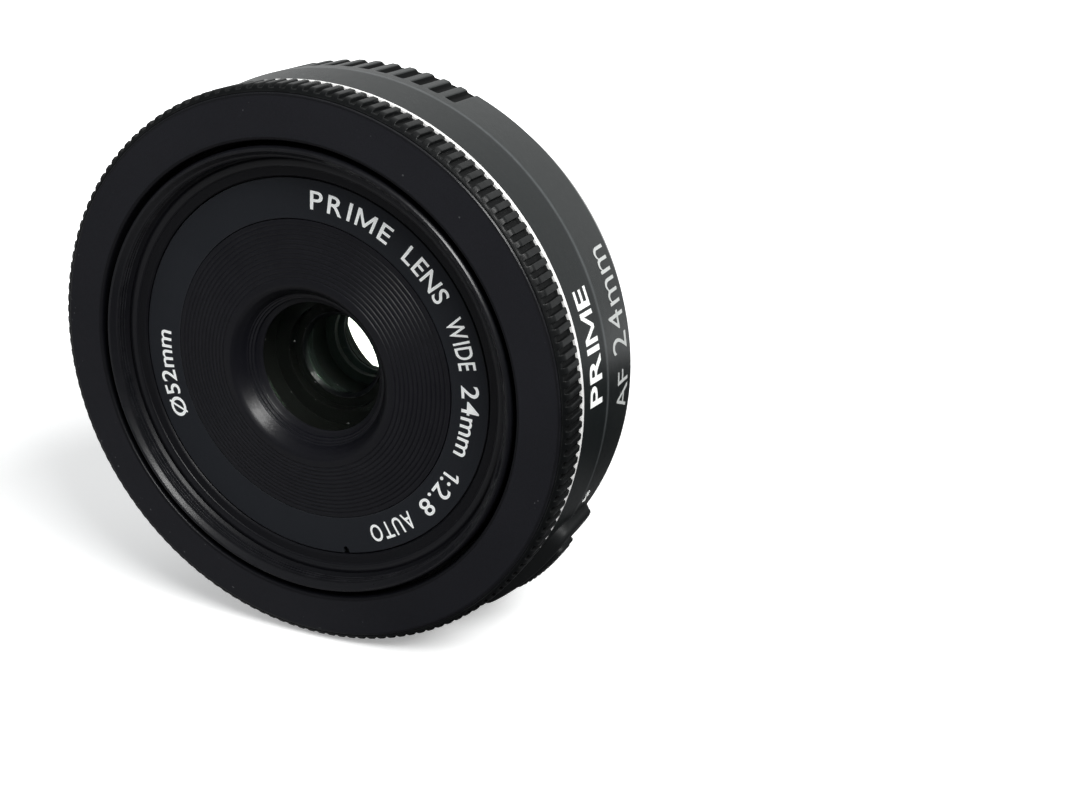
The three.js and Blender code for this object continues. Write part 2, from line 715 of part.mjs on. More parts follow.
const lens = new THREE.Group();
lens.name = "prime_lens";
lens.add(lensFrame);
export default lens;
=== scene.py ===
"""A wide-angle autofocus camera lens lying on its side.

The optical axis runs along Y with the front facing -Y. Shapes are written in lens coordinates:
radius in mm, angle in degrees from the lens top, and mm forward of the mount flange plane.
The lens top points to +X, turned up by ROLL. Lens x is the top, lens y is 90 degrees on.
"""
import json
import math
from functools import cache

import bmesh
import bpy
import numpy as np
from mathutils import Matrix, Vector


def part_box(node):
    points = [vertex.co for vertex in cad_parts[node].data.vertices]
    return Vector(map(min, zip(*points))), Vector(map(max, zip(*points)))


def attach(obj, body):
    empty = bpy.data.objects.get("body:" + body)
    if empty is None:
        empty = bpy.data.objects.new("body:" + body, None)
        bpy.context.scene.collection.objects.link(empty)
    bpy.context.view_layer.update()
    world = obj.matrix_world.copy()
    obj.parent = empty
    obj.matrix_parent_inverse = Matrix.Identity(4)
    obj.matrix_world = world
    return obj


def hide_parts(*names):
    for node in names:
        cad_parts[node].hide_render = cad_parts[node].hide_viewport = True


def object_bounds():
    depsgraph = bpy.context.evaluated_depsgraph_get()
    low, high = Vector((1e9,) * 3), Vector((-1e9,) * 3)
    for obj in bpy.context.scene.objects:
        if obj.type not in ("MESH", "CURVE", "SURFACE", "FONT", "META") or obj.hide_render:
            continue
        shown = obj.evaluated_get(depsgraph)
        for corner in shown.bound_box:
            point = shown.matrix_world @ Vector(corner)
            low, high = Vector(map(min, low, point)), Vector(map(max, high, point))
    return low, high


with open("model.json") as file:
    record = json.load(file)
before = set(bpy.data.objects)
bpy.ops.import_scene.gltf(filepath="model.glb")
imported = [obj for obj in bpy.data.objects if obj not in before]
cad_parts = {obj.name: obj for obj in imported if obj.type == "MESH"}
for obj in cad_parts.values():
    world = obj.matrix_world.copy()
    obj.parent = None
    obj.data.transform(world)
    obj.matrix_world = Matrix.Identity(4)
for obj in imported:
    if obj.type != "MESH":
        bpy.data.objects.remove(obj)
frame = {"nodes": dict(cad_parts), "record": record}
size_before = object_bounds()

# ---------------------------------------------------------------- driving sizes (mm, degrees)
MM = 0.001
FRONT_RIM = 22.8  # flange plane to front rim
BARREL_R = 34.1
CREASE = 11.44  # forward place where the barrel starts to taper
SCREW_ANGLES = (45, 135, 225, 315)
SCREW_CIRCLE = 29.6
SHARP_ANGLE = 34  # edges that turn more than this are shaded sharp


def box_mm(node):
    low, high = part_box(node)
    return np.array(low) * 1000, np.array(high) * 1000


FLANGE_Y = box_mm("focus_ring")[0][1] + FRONT_RIM
screw_low, screw_high = box_mm("mount_screw_1")
screw_middle = (screw_low + screw_high) / 2
ROLL = math.degrees(math.atan2(screw_middle[2], screw_middle[0])) - SCREW_ANGLES[0]
barrel_low, barrel_high = box_mm("main_barrel")
SCALE = (barrel_high[0] - barrel_low[0]) / 2 / BARREL_R  # 1.0 when the part keeps its size


def place(radius, angle, forward):
    """Lens cylinder coordinates to scene metres."""
    turn = np.radians(np.asarray(angle, float) + ROLL)
    radius = np.asarray(radius, float) * SCALE
    x, z, y = np.broadcast_arrays(
        radius * np.cos(turn), radius * np.sin(turn), FLANGE_Y - np.asarray(forward, float)
    )
    return np.stack([x, y, z], -1) * MM


def place_xy(x, y, forward):
    """Lens x, y and forward in mm to scene metres."""
    return place(np.hypot(x, y), np.degrees(np.arctan2(y, x)), forward)


def angle_from(centre, angle):
    """Signed turn from centre to angle, within half a circle."""
    return (angle - centre + 180) % 360 - 180


# ---------------------------------------------------------------- mesh tools
FINISH = {}  # material name -> material


def shade_smooth(mesh):
    mesh.polygons.foreach_set("use_smooth", [True] * len(mesh.polygons))


def sharpen(mesh, angle=SHARP_ANGLE):
    mesh.set_sharp_from_angle(angle=math.radians(angle))


def coordinates(mesh):
    values = np.zeros(len(mesh.vertices) * 3)
    mesh.vertices.foreach_get("co", values)
    return values.reshape(-1, 3)


def link(name, mesh):
    ob = bpy.data.objects.new(name, mesh)
    bpy.context.scene.collection.objects.link(ob)
    return ob


def make(name, verts, faces, normals=None, mats=(), face_mats=None):
    """An object from plain lists; mats are names in FINISH."""
    mesh = bpy.data.meshes.new(name)
    mesh.from_pydata([tuple(v) for v in verts], [], [tuple(f) for f in faces])
    shade_smooth(mesh)
    for mat in mats:
        mesh.materials.append(FINISH[mat])
    if face_mats is not None:
        mesh.polygons.foreach_set("material_index", list(face_mats))
    mesh.update()
    if normals is not None:
        mesh.normals_split_custom_set([tuple(n) for n in normals])
    else:
        sharpen(mesh)
    return link(name, mesh)


def unit(vectors):
    length = np.linalg.norm(vectors, axis=-1, keepdims=True)
    return vectors / np.maximum(length, 1e-15)


def grid(name, points, mats=(), closed=True, limit=38.0, face_mats=None):
    """One skin from an array of points (angle, profile, 3), closed both ways or open both ways.

    Corner normals are the area-weighted mean of the faces round the corner that lie within
    limit degrees of the face, so flats stay flat and small bevels turn smoothly.
    """
    count_i, count_j = points.shape[:2]
    faces_i, faces_j = (count_i, count_j) if closed else (count_i - 1, count_j - 1)
    next_i = (np.arange(faces_i) + 1) % count_i
    next_j = (np.arange(faces_j) + 1) % count_j

    def corners(values):
        return (
            values[:faces_i, :faces_j],
            values[next_i][:, :faces_j],
            values[next_i][:, next_j],
            values[:faces_i][:, next_j],
        )

    first, second, third, fourth = corners(points)
    cross = np.cross(third - first, fourth - second)  # twice the area times the normal
    area = np.linalg.norm(cross, axis=-1)
    face_normal = unit(cross)
    cos_limit = math.cos(math.radians(limit))

    def corner_normals(corner_i, corner_j):
        total = np.zeros_like(face_normal)
        for step_i in (-1, 0):
            for step_j in (-1, 0):
                i = np.arange(faces_i) + corner_i + step_i
                j = np.arange(faces_j) + corner_j + step_j
                other = face_normal[i % faces_i][:, j % faces_j]
                weight = area[i % faces_i][:, j % faces_j].copy()
                if not closed:
                    weight[(i < 0) | (i >= faces_i)] = 0
                    weight[:, (j < 0) | (j >= faces_j)] = 0
                weight = np.where((other * face_normal).sum(-1) > cos_limit, weight, 0)
                total += other * weight[..., None]
        empty = np.linalg.norm(total, axis=-1) < 1e-20
        total[empty] = face_normal[empty]
        return unit(total)

    index = np.arange(count_i * count_j).reshape(count_i, count_j)
    faces = np.stack(corners(index), -1).reshape(-1, 4)
    order = ((0, 0), (1, 0), (1, 1), (0, 1))
    normals = np.stack([corner_normals(i, j) for i, j in order], 2).reshape(-1, 3)
    if face_mats is not None:
        face_mats = np.broadcast_to(face_mats, (faces_i, faces_j)).ravel()
    return make(name, points.reshape(-1, 3), faces, normals, mats, face_mats)


def round_corner(before, point, after, setback, steps, guards=False):
    """The points that replace one corner; guards add a point on each long side next to it."""
    before, point, after = np.array(before), np.array(point), np.array(after)
    length_in, length_out = np.linalg.norm(before - point), np.linalg.norm(after - point)
    setback = min(setback, 0.42 * length_in, 0.42 * length_out)
    back, ahead = (before - point) / length_in, (after - point) / length_out
    if setback < 1e-4 or np.dot(back, ahead) < -0.9995:
        return [point]
    start, end = point + back * setback, point + ahead * setback
    out = []
    for k in range(steps + 1):
        t = k / steps
        out.append((1 - t) ** 2 * start + 2 * t * (1 - t) * point + t * t * end)
    if guards and length_in > 4 * setback + 0.3:
        out.insert(0, point + back * (setback + 0.12))
    if guards and length_out > 4 * setback + 0.3:
        out.append(point + ahead * (setback + 0.12))
    return out


def turned(points, default=0.08, steps=3):
    """A closed profile with rounded corners. A point is (radius, forward[, setback])."""
    points = [(p[0], p[1], p[2] if len(p) > 2 else default) for p in points]
    count = len(points)
    area = sum(
        points[i][0] * points[(i + 1) % count][1] - points[(i + 1) % count][0] * points[i][1]
        for i in range(count)
    )
    if area < 0:
        points = points[::-1]
    out = []
    for i, point in enumerate(points):
        before, after = points[i - 1][:2], points[(i + 1) % count][:2]
        out += round_corner(before, point[:2], after, point[2], steps, guards=True)
    return np.array(out)


def ring(name, points, mats, segments=240, default=0.08, steps=3, limit=38.0, pick=None):
    """A turned profile swept round the axis; pick(radius, forward) gives the slot of a row."""
    profile = turned(points, default, steps)
    face_mats = None
    if pick:
        count = len(profile)
        face_mats = [pick(*((profile[j] + profile[(j + 1) % count]) / 2)) for j in range(count)]
    angles = np.arange(segments) * 360.0 / segments
    skin = place(profile[None, :, 0], angles[:, None], profile[None, :, 1])
    return grid(name, skin, mats, limit=limit, face_mats=face_mats)


def dome(name, points, mats, segments, centre=(0, 0), limit=38.0):
    """A solid of revolution whose line starts and ends on its own axis.

    The ends are (0, forward), the others (radius, forward, setback). centre is the
    (radius, angle) of the solid's axis.
    """
    line = [np.array(points[0][:2])]
    for before, point, after in zip(points, points[1:], points[2:]):
        line += round_corner(before[:2], point[:2], after[:2], point[2], steps=3)
    line = np.array(line + [np.array(points[-1][:2])])
    if line[0][1] > line[-1][1]:
        line = line[::-1]  # runs from the rear pole to the front pole, so faces look outwards
    turn = np.radians(np.arange(segments) * 360.0 / segments)
    centre_x = centre[0] * math.cos(math.radians(centre[1]))
    centre_y = centre[0] * math.sin(math.radians(centre[1]))
    inner = line[1:-1]
    rows = len(inner)
    x = centre_x + inner[None, :, 0] * np.cos(turn)[:, None]
    y = centre_y + inner[None, :, 0] * np.sin(turn)[:, None]
    skin = place_xy(x, y, np.broadcast_to(inner[None, :, 1], x.shape))
    verts = [tuple(v) for v in skin.reshape(-1, 3)]
    rear, front = len(verts), len(verts) + 1
    verts += [tuple(place_xy(centre_x, centre_y, line[end][1])) for end in (0, -1)]
    faces = []
    for i in range(segments):
        k = (i + 1) % segments
        for j in range(rows - 1):
            faces.append((i * rows + j, k * rows + j, k * rows + j + 1, i * rows + j + 1))
        faces.append((rear, k * rows, i * rows))
        faces.append((front, i * rows + rows - 1, k * rows + rows - 1))
    # corner normals, by the same rule as in grid
    at = np.array(verts)
    cross = np.array([np.cross(at[f[2]] - at[f[0]], at[f[-1]] - at[f[1]]) for f in faces])
    face_normal = unit(cross)
    around = [[] for _ in verts]
    for index, face in enumerate(faces):
        for v in face:
            around[v].append(index)
    cos_limit = math.cos(math.radians(limit))
    normals = []
    for index, face in enumerate(faces):
        own = face_normal[index]
        for v in face:
            near = around[v]
            total = cross[near][(face_normal[near] @ own) > cos_limit].sum(0)
            length = np.linalg.norm(total)
            normals.append(total / length if length > 0 else own)
    return make(name, verts, faces, normals, mats)


def face_outwards(ob, weld=False, split_ends=False):
    """Turns all faces outwards; may weld equal points and cut many-sided faces in triangles."""
    bm = bmesh.new()
    bm.from_mesh(ob.data)
    if weld:
        bmesh.ops.remove_doubles(bm, verts=bm.verts, dist=1e-8)
    bmesh.ops.recalc_face_normals(bm, faces=bm.faces)
    if split_ends:
        bmesh.ops.triangulate(bm, faces=[f for f in bm.faces if len(f.verts) > 4])
    bm.to_mesh(ob.data)
    bm.free()
    sharpen(ob.data)
    return ob


def loft(name, loops, mats=(), split_ends=False):
    """Closed loops of equal length, joined in order, with a face over each end."""
    count = len(loops[0])
    faces = []
    for level in range(len(loops) - 1):
        low, high = level * count, (level + 1) * count
        for i in range(count):
            k = (i + 1) % count
            faces.append((low + i, low + k, high + k, high + i))
    faces.append(tuple(range(count))[::-1])
    faces.append(tuple(range((len(loops) - 1) * count, len(loops) * count)))
    ob = make(name, np.concatenate(loops), faces, mats=mats)
    return face_outwards(ob, split_ends=split_ends)


def joined(name, parts):
    """One mesh from several, keeping their materials and normals."""
    mesh = bpy.data.meshes.new(name)
    verts, faces, face_mats, materials, normals = [], [], [], [], []
    for part in parts:
        own = part.data
        base = len(verts)
        verts += [tuple(v.co) for v in own.vertices]
        slots = {}
        for i, material in enumerate(own.materials):
            if material not in materials:
                materials.append(material)
            slots[i] = materials.index(material)
        for face in own.polygons:
            faces.append([v + base for v in face.vertices])
            face_mats.append(slots.get(face.material_index, 0))
            normals += [tuple(own.corner_normals[i].vector) for i in face.loop_indices]
    mesh.from_pydata(verts, [], faces)
    shade_smooth(mesh)
    for material in materials:
        mesh.materials.append(material)
    mesh.polygons.foreach_set("material_index", face_mats)
    mesh.update()
    mesh.normals_split_custom_set(normals)
    for part in parts:
        own = part.data
        bpy.data.objects.remove(part)
        bpy.data.meshes.remove(own)
    return link(name, mesh)


def mark_edges(mesh):
    """Point attribute "edge": 0 on flats, up to 1 where the surface turns outwards sharply."""
    count = len(mesh.vertices)
    at = coordinates(mesh) * 1000
    normals = np.zeros(count * 3, np.float32)
    mesh.vertex_normals.foreach_get("vector", normals)
    normals = normals.reshape(-1, 3)
    edges = np.zeros(len(mesh.edges) * 2, int)
    mesh.edges.foreach_get("vertices", edges)
    start, end = edges.reshape(-1, 2).T
    along = at[end] - at[start]
    length_squared = np.maximum((along * along).sum(1), 1e-6)
    bend, neighbours = np.zeros(count), np.zeros(count)
    np.add.at(bend, start, -2 * (normals[start] * along).sum(1) / length_squared)
    np.add.at(bend, end, 2 * (normals[end] * along).sum(1) / length_squared)
    np.add.at(neighbours, start, 1)
    np.add.at(neighbours, end, 1)
    strength = np.clip((bend / np.maximum(neighbours, 1) - 0.8) / 5.0, 0, 1)
    attribute = mesh.attributes.new("edge", "FLOAT", "POINT")
    attribute.data.foreach_set("value", strength.astype(np.float32))


def cut(ob, cutter):
    """Takes the cutter's shape out of the object and removes the cutter."""
    modifier = ob.modifiers.new("cut", "BOOLEAN")
    modifier.operation, modifier.solver, modifier.object = "DIFFERENCE", "EXACT", cutter
    graph = bpy.context.evaluated_depsgraph_get()
    mesh = bpy.data.meshes.new_from_object(ob.evaluated_get(graph), depsgraph=graph)
    old = ob.data
    ob.modifiers.clear()
    ob.data = mesh
    mesh.name = old.name + "_cut"
    bpy.data.meshes.remove(old)
    bpy.data.objects.remove(cutter)
    shade_smooth(mesh)
    sharpen(mesh)


def put(ob, body, slot_name, *nodes):
    """Hands a finished object over: the body it moves with, its slot (not used), the nodes it
    replaces.
    """
    mark_edges(ob.data)
    if nodes:
        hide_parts(*nodes)
    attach(ob, body)


# ---------------------------------------------------------------- shader tools
def shade(colour, factor):
    return tuple(c * factor for c in colour)


class Tree:
    """A node tree. Methods add nodes and give their output sockets."""

    def __init__(self, owner):
        owner.use_nodes = True
        self.nodes, self.links = owner.node_tree.nodes, owner.node_tree.links
        self.nodes.clear()

    def feed(self, socket, value):
        if isinstance(value, bpy.types.NodeSocket):
            self.links.new(value, socket)
        elif socket.type == "RGBA":
            socket.default_value = (*value, 1)
        else:
            socket.default_value = value

    def add(self, kind, inputs=None, output=0, **settings):
        node = self.nodes.new("ShaderNode" + kind)
        for key, value in settings.items():
            setattr(node, key, value)
        for key, value in (inputs or {}).items():
            self.feed(node.inputs[key], value)
        return node.outputs[output]

    def finish(self, shader, kind="OutputMaterial"):
        self.feed(self.nodes.new("ShaderNode" + kind).inputs[0], shader)

    def math(self, operation, *values, clamp=False):
        return self.add("Math", dict(enumerate(values)), operation=operation, use_clamp=clamp)

    def times(self, first, second, clamp=False):
        return self.math("MULTIPLY", first, second, clamp=clamp)

    def plus(self, first, second, clamp=False):
        return self.math("ADD", first, second, clamp=clamp)

    def minus(self, first, second, clamp=False):
        return self.math("SUBTRACT", first, second, clamp=clamp)

    def times_plus(self, value, factor, offset, clamp=False):
        return self.math("MULTIPLY_ADD", value, factor, offset, clamp=clamp)

    def distance(self, first, second):
        squares = self.plus(self.times(first, first), self.times(second, second))
        return self.math("SQRT", squares)

    def components(self, vector):
        return self.add("SeparateXYZ", {0: vector}).node.outputs

    def noise(self, point, scale, detail=3.0, rough=0.55):
        inputs = {"Vector": point, "Scale": scale, "Detail": detail, "Roughness": rough}
        return self.add("TexNoise", inputs, output="Fac")

    def ramp(self, value, *stops):
        """Grey ramp; a stop is (position, brightness)."""
        output = self.add("ValToRGB", {"Fac": value}, output="Color")
        elements = output.node.color_ramp.elements
        while len(elements) > 1:
            elements.remove(elements[-1])
        elements[0].position = stops[0][0]
        elements[0].color = (stops[0][1],) * 3 + (1,)
        for position, grey in stops[1:]:
            elements.new(position).color = (grey, grey, grey, 1)
        return output

    def mix(self, factor, first, second):
        node = self.add("Mix", data_type="RGBA").node
        self.feed(node.inputs["Factor"], factor)
        for socket, value in zip([s for s in node.inputs if s.type == "RGBA"], (first, second)):
            self.feed(socket, value)
        return next(s for s in node.outputs if s.type == "RGBA")

    def mix_shader(self, factor, first, second):
        return self.add("MixShader", {0: factor, 1: first, 2: second})

    def surface(self, colour, rough, height, bump, spec, metallic=0.0, aniso=0.0, glow=0.0):
        """Principled surface; bump is in mm, aniso stretches highlights round the axis."""
        relief = {"Strength": 1.0, "Distance": bump * MM, "Height": height}
        inputs = {
            "Base Color": colour,
            "Roughness": rough,
            "Specular IOR Level": spec,
            "Metallic": metallic,
            "IOR": 1.5,
            "Normal": self.add("Bump", relief),
        }
        if aniso:
            inputs["Tangent"] = self.add("Tangent", direction_type="RADIAL", axis="Y")
            inputs["Anisotropic"] = aniso
            inputs["Anisotropic Rotation"] = 0.25
        # painted light: glow makes the surface glow in its own colour
        if glow:
            inputs["Emission Color"] = colour
            inputs["Emission Strength"] = glow
        return self.add("BsdfPrincipled", inputs)


def new_material(name):
    """Registers a material; gives its tree and the object coordinates in mm."""
    FINISH[name] = bpy.data.materials.new(name)
    tree = Tree(FINISH[name])
    place_in_object = tree.add("TexCoord", output="Object")
    return tree, tree.add("Mapping", {"Vector": place_in_object, "Scale": (1000, 1000, 1000)})


# ---------------------------------------------------------------- materials
def lighten_crease(tree, point, colour, rough):
    """The barrel is made lighter and a little glossier in a patchy band along the edge between the
    straight and the tapered part.
    """
    forward = tree.minus(float(FLANGE_Y), tree.components(point)[1])
    away = tree.math("ABSOLUTE", tree.minus(forward, CREASE))
    band = tree.minus(1.0, tree.times(away, 2.6), clamp=True)
    patches = tree.noise(point, scale=0.5, detail=3.0, rough=0.6)
    band = tree.times(band, tree.times_plus(patches, factor=0.7, offset=0.25))
    colour = tree.mix(tree.times(band, 0.85), colour, (0.12, 0.13, 0.135))
    return colour, tree.minus(rough, tree.times(band, 0.08), clamp=True)


def plastic(
    name, base, rough, spec, grain, bump, worn, wear, mottle,
    scratch=0.0, aniso=0.0, crease=False, dusty=False,
):
    tree, point = new_material(name)
    fine = tree.noise(point, scale=1.0 / grain, detail=2.0, rough=0.6)
    medium = tree.noise(point, scale=1.1, detail=4.0, rough=0.6)
    wide = tree.noise(point, scale=0.09, detail=3.0, rough=0.5)
    blotches = tree.times_plus(fine, 0.5, tree.times(wide, 0.5))
    colour = tree.mix(blotches, shade(base, 1 - mottle), shade(base, 1 + mottle))

    # rubbed edges: from pointiness on CAD pieces, from the "edge" attribute on the others
    pointy = tree.ramp(tree.add("NewGeometry", output="Pointiness"), (0.50, 0.0), (0.58, 1.0))
    from_cad = tree.add(
        "Attribute", output="Fac", attribute_type="OBJECT", attribute_name="from_cad"
    )
    edge = tree.add("Attribute", output="Fac", attribute_name="edge")
    edge = tree.math("MAXIMUM", tree.times(pointy, from_cad), edge)
    patches = tree.noise(point, scale=0.45, detail=4.0, rough=0.65)
    patches = tree.ramp(patches, (0.38, 0.15), (0.62, 1.0))
    rubbed = tree.times(tree.times(edge, patches), wear, clamp=True)
    colour = tree.mix(rubbed, colour, worn)
    roughness = tree.times_plus(medium, factor=0.12, offset=rough - 0.06)
    roughness = tree.minus(roughness, tree.times(rubbed, 0.12), clamp=True)

    if dusty:
        specks = tree.noise(point, scale=2.6, detail=0.0, rough=0.0)
        specks = tree.ramp(specks, (0.815, 0.0), (0.845, 1.0))
        areas = tree.noise(point, scale=0.22, detail=1.0, rough=0.0)
        areas = tree.ramp(areas, (0.52, 0.0), (0.62, 1.0))
        dust = tree.times(tree.times(specks, areas), 0.30)
        colour = tree.mix(dust, colour, (0.32, 0.33, 0.34))
        roughness = tree.plus(roughness, tree.times(dust, 0.3), clamp=True)
    height = tree.plus(tree.times(fine, 0.8), tree.times(medium, 0.35))
    if scratch:
        stretched = tree.add(
            "Mapping",
            {"Vector": point, "Scale": (0.25, 6.0, 0.4), "Rotation": (0.4, 0.2, 0.7)},
        )
        lines = tree.noise(stretched, scale=0.9, detail=1.0, rough=0.4)
        lines = tree.ramp(lines, (0.485, 0.0), (0.5, 1.0), (0.515, 0.0))
        height = tree.minus(height, tree.times(lines, scratch))
        roughness = tree.plus(roughness, tree.times(lines, 0.05 * scratch), clamp=True)
    if crease:
        colour, roughness = lighten_crease(tree, point, colour, roughness)
    tree.finish(tree.surface(colour, roughness, height, bump, spec, aniso=aniso))


def metal(
    name, base, rough, tarnish=(0.45, 0.42, 0.38),
    metallic=1.0, bump=0.004, aniso=0.0, wear=0.25, glow=0.0,
):
    """Metal with faint turning lines; only with aniso do they also shape the surface."""
    tree, point = new_material(name)
    x, y, z = tree.components(point)
    radius = tree.distance(x, z)
    forward = tree.minus(float(FLANGE_Y), y)
    angle = tree.math("ARCTAN2", z, x)
    inputs = {0: tree.times(radius, 9.0), 1: tree.times(forward, 9.0), 2: tree.times(angle, 1.2)}
    wound = tree.add("CombineXYZ", inputs)
    lines = tree.noise(wound, scale=1.0, detail=4.0, rough=0.7)
    soft = tree.noise(point, scale=0.5, detail=4.0, rough=0.6)
    colour = tree.mix(tree.times(soft, wear), base, tarnish)
    colour = tree.mix(tree.times(lines, 0.22), colour, shade(base, 0.75))
    soft_rough = tree.times_plus(soft, factor=0.10, offset=rough - 0.13)
    roughness = tree.plus(tree.times(lines, 0.16), soft_rough, clamp=True)
    height = lines if aniso else soft
    tree.finish(
        tree.surface(
            colour, roughness, height, bump, spec=0.5, metallic=metallic, aniso=aniso, glow=glow
        )
    )


def paint(name, base, rough, glow=0.0):
    tree, point = new_material(name)
    fine = tree.noise(point, scale=5.0, detail=3.0, rough=0.6)
    wide = tree.noise(point, scale=0.8, detail=3.0, rough=0.6)
    colour = tree.mix(tree.times(fine, 0.35), base, shade(base, 0.72))
    roughness = tree.times_plus(wide, factor=0.2, offset=rough - 0.1)
    tree.finish(tree.surface(colour, roughness, fine, bump=0.004, spec=0.4, glow=glow))


def board(name):
    """Green circuit board with raised ring-shaped tracks in patches."""
    tree, point = new_material(name)
    x, _, z = tree.components(point)
    stripes = tree.math("FRACT", tree.times(tree.distance(x, z), 1.4))
    tracks = tree.ramp(stripes, (0.30, 0.0), (0.36, 1.0), (0.60, 1.0), (0.66, 0.0))
    areas = tree.noise(point, scale=0.35, detail=1.0, rough=0.3)
    tracks = tree.times(tracks, tree.ramp(areas, (0.48, 0.0), (0.5, 1.0)))
    cloud = tree.noise(point, scale=1.5, detail=3.0, rough=0.6)
    base = tree.mix(cloud, (0.012, 0.085, 0.035), (0.02, 0.12, 0.05))
    colour = tree.mix(tree.times(tracks, 0.6), base, (0.06, 0.24, 0.09))
    roughness = tree.times_plus(tree.noise(point, scale=2.0), factor=0.2, offset=0.3)
    tree.finish(tree.surface(colour, roughness, tracks, bump=0.03, spec=0.5))


def glass(name, tint, coat, reflect, dust=0.0):
    """Straight-through glass: what lies behind is seen unbent, under a coated reflection."""
    tree, point = new_material(name)
    smear = tree.noise(point, scale=0.35, detail=4.0, rough=0.6)
    tint = tree.mix(tree.times(smear, 0.25), tint, shade(tint, 0.97))
    clear = tree.add("BsdfTransparent", {"Color": tint})
    facing = tree.add("LayerWeight", {"Blend": 0.35}, output="Facing")
    shifted = tuple(min(1.0, c * 1.3 + 0.2) for c in coat[::-1])
    relief = {
        "Distance": 0.0005 * MM,
        "Height": tree.noise(point, scale=2.0, detail=2.0, rough=0.5),
    }
    gloss = tree.add(
        "BsdfGlossy",
        {
            "Color": tree.mix(facing, coat, shifted),
            "Roughness": tree.times_plus(smear, factor=0.02, offset=0.012),
            "Normal": tree.add("Bump", relief),
        },
    )
    mirror = tree.times(tree.add("Fresnel", {"IOR": 1.52}), reflect, clamp=True)
    specks = tree.noise(point, scale=2.2, detail=0.0, rough=0.0)
    specks = tree.ramp(specks, (0.845, 0.0), (0.87, 1.0))
    dull = tree.add("BsdfDiffuse", {"Color": (0.6, 0.62, 0.6)})
    coated = tree.mix_shader(mirror, clear, gloss)
    tree.finish(tree.mix_shader(tree.times(specks, dust), coated, dull))


# colour, roughness, specular, grain size mm, bump mm, worn edge colour, edge wear, mottling
PLASTICS = {
    "barrel_plastic": (
        (0.0104, 0.0128, 0.0134), 0.34, 0.40, 0.20, 0.013, (0.075, 0.08, 0.078), 0.5, 0.28),
    # painted shade: a near-black plastic for the insides of the knurl's gaps and of the grip
    # grooves
    "groove_plastic": (
        (0.0030, 0.0034, 0.0036), 0.60, 0.12, 0.12, 0.010, (0.03, 0.03, 0.03), 0.4, 0.3),
    "ring_plastic": (
        (0.0130, 0.0133, 0.0170), 0.60, 0.24, 0.19, 0.018, (0.05, 0.05, 0.054), 0.45, 0.42),
    "knurl_plastic": (
        (0.0042, 0.0048, 0.0052), 0.40, 0.20, 0.12, 0.010, (0.040, 0.042, 0.042), 0.5, 0.25),
    "front_plastic": (
        (0.0066, 0.0068, 0.0088), 0.30, 0.42, 0.10, 0.006, (0.045, 0.045, 0.05), 0.4, 0.2),
    # painted shade: a darker plastic for recessed steps, thread roots and the focus ring's opening
    "inner_step_plastic": (
        (0.0042, 0.0044, 0.0060), 0.40, 0.24, 0.10, 0.006, (0.03, 0.03, 0.034), 0.35, 0.2),
    "name_ring_plastic": (
        (0.0172, 0.0190, 0.0232), 0.60, 0.20, 0.17, 0.012, (0.05, 0.05, 0.054), 0.3, 0.28),
    "baffle_plastic": (
        (0.0050, 0.0051, 0.0076), 0.37, 0.38, 0.09, 0.010, (0.035, 0.035, 0.042), 0.25, 0.22),
    "trim_plastic": (
        (0.0095, 0.0105, 0.0110), 0.46, 0.28, 0.12, 0.008, (0.10, 0.10, 0.10), 0.5, 0.18),
    "rear_plastic": (
        (0.014, 0.014, 0.015), 0.55, 0.32, 0.12, 0.012, (0.06, 0.06, 0.06), 0.4, 0.2),
    "inner_plastic": (
        (0.0080, 0.0088, 0.0078), 0.6, 0.15, 0.15, 0.01, (0.02, 0.02, 0.02), 0.4, 0.2),
    "gear_plastic": ((0.62, 0.60, 0.54), 0.5, 0.4, 0.2, 0.008, (0.75, 0.73, 0.68), 0.3, 0.08),
    "sensor_plastic": ((0.03, 0.03, 0.03), 0.45, 0.4, 0.1, 0.006, (0.10, 0.10, 0.10), 0.3, 0.25),
    "flex_film": ((0.36, 0.17, 0.045), 0.35, 0.5, 0.2, 0.004, (0.5, 0.3, 0.1), 0.2, 0.15),
}
PLASTIC_EXTRAS = {
    "barrel_plastic": {"crease": True, "scratch": 0.25},
    "ring_plastic": {"dusty": True},
    "baffle_plastic": {"aniso": 0.45},
}
for name, values in PLASTICS.items():
    plastic(name, *values, **PLASTIC_EXTRAS.get(name, {}))

# painted light: with glow=0.26 the trim ring glows faintly in its own colour
metal(
    "silver_trim", (0.92, 0.92, 0.91), rough=0.34, tarnish=(0.80, 0.79, 0.77),
    metallic=0.25, bump=0.003, aniso=0.3, wear=0.12, glow=0.26,
)
metal("mount_metal", (0.66, 0.66, 0.67), rough=0.28, aniso=0.6)
metal("steel", (0.55, 0.56, 0.58), rough=0.32)
metal("contact_gold", (0.86, 0.62, 0.24), rough=0.25, tarnish=(0.6, 0.4, 0.15))
metal("pinion_brass", (0.75, 0.56, 0.26), rough=0.32, tarnish=(0.5, 0.35, 0.15))
metal("blade_metal", (0.05, 0.05, 0.055), rough=0.42, tarnish=(0.08, 0.08, 0.08), metallic=0.7)
# painted light: with glow=0.22 the white lettering glows faintly in its own colour
paint("white_print", (0.93, 0.95, 0.94), rough=0.45, glow=0.22)
paint("grey_print", (0.62, 0.64, 0.63), rough=0.5)
paint("index_print", (0.62, 0.03, 0.03), rough=0.4)
board("board")
glass(
    "optical_glass_front", tint=(0.988, 0.994, 0.984), coat=(0.34, 0.52, 0.44),
    reflect=0.10, dust=0.35,
)
glass("optical_glass_inner", tint=(0.990, 0.996, 0.984), coat=(0.30, 0.55, 0.50), reflect=0.12)
glass("optical_glass_rear", tint=(0.992, 0.995, 0.990), coat=(0.38, 0.42, 0.70), reflect=0.40)

# ---------------------------------------------------------------- focus ring: knurl, face, opening
TEETH = 146
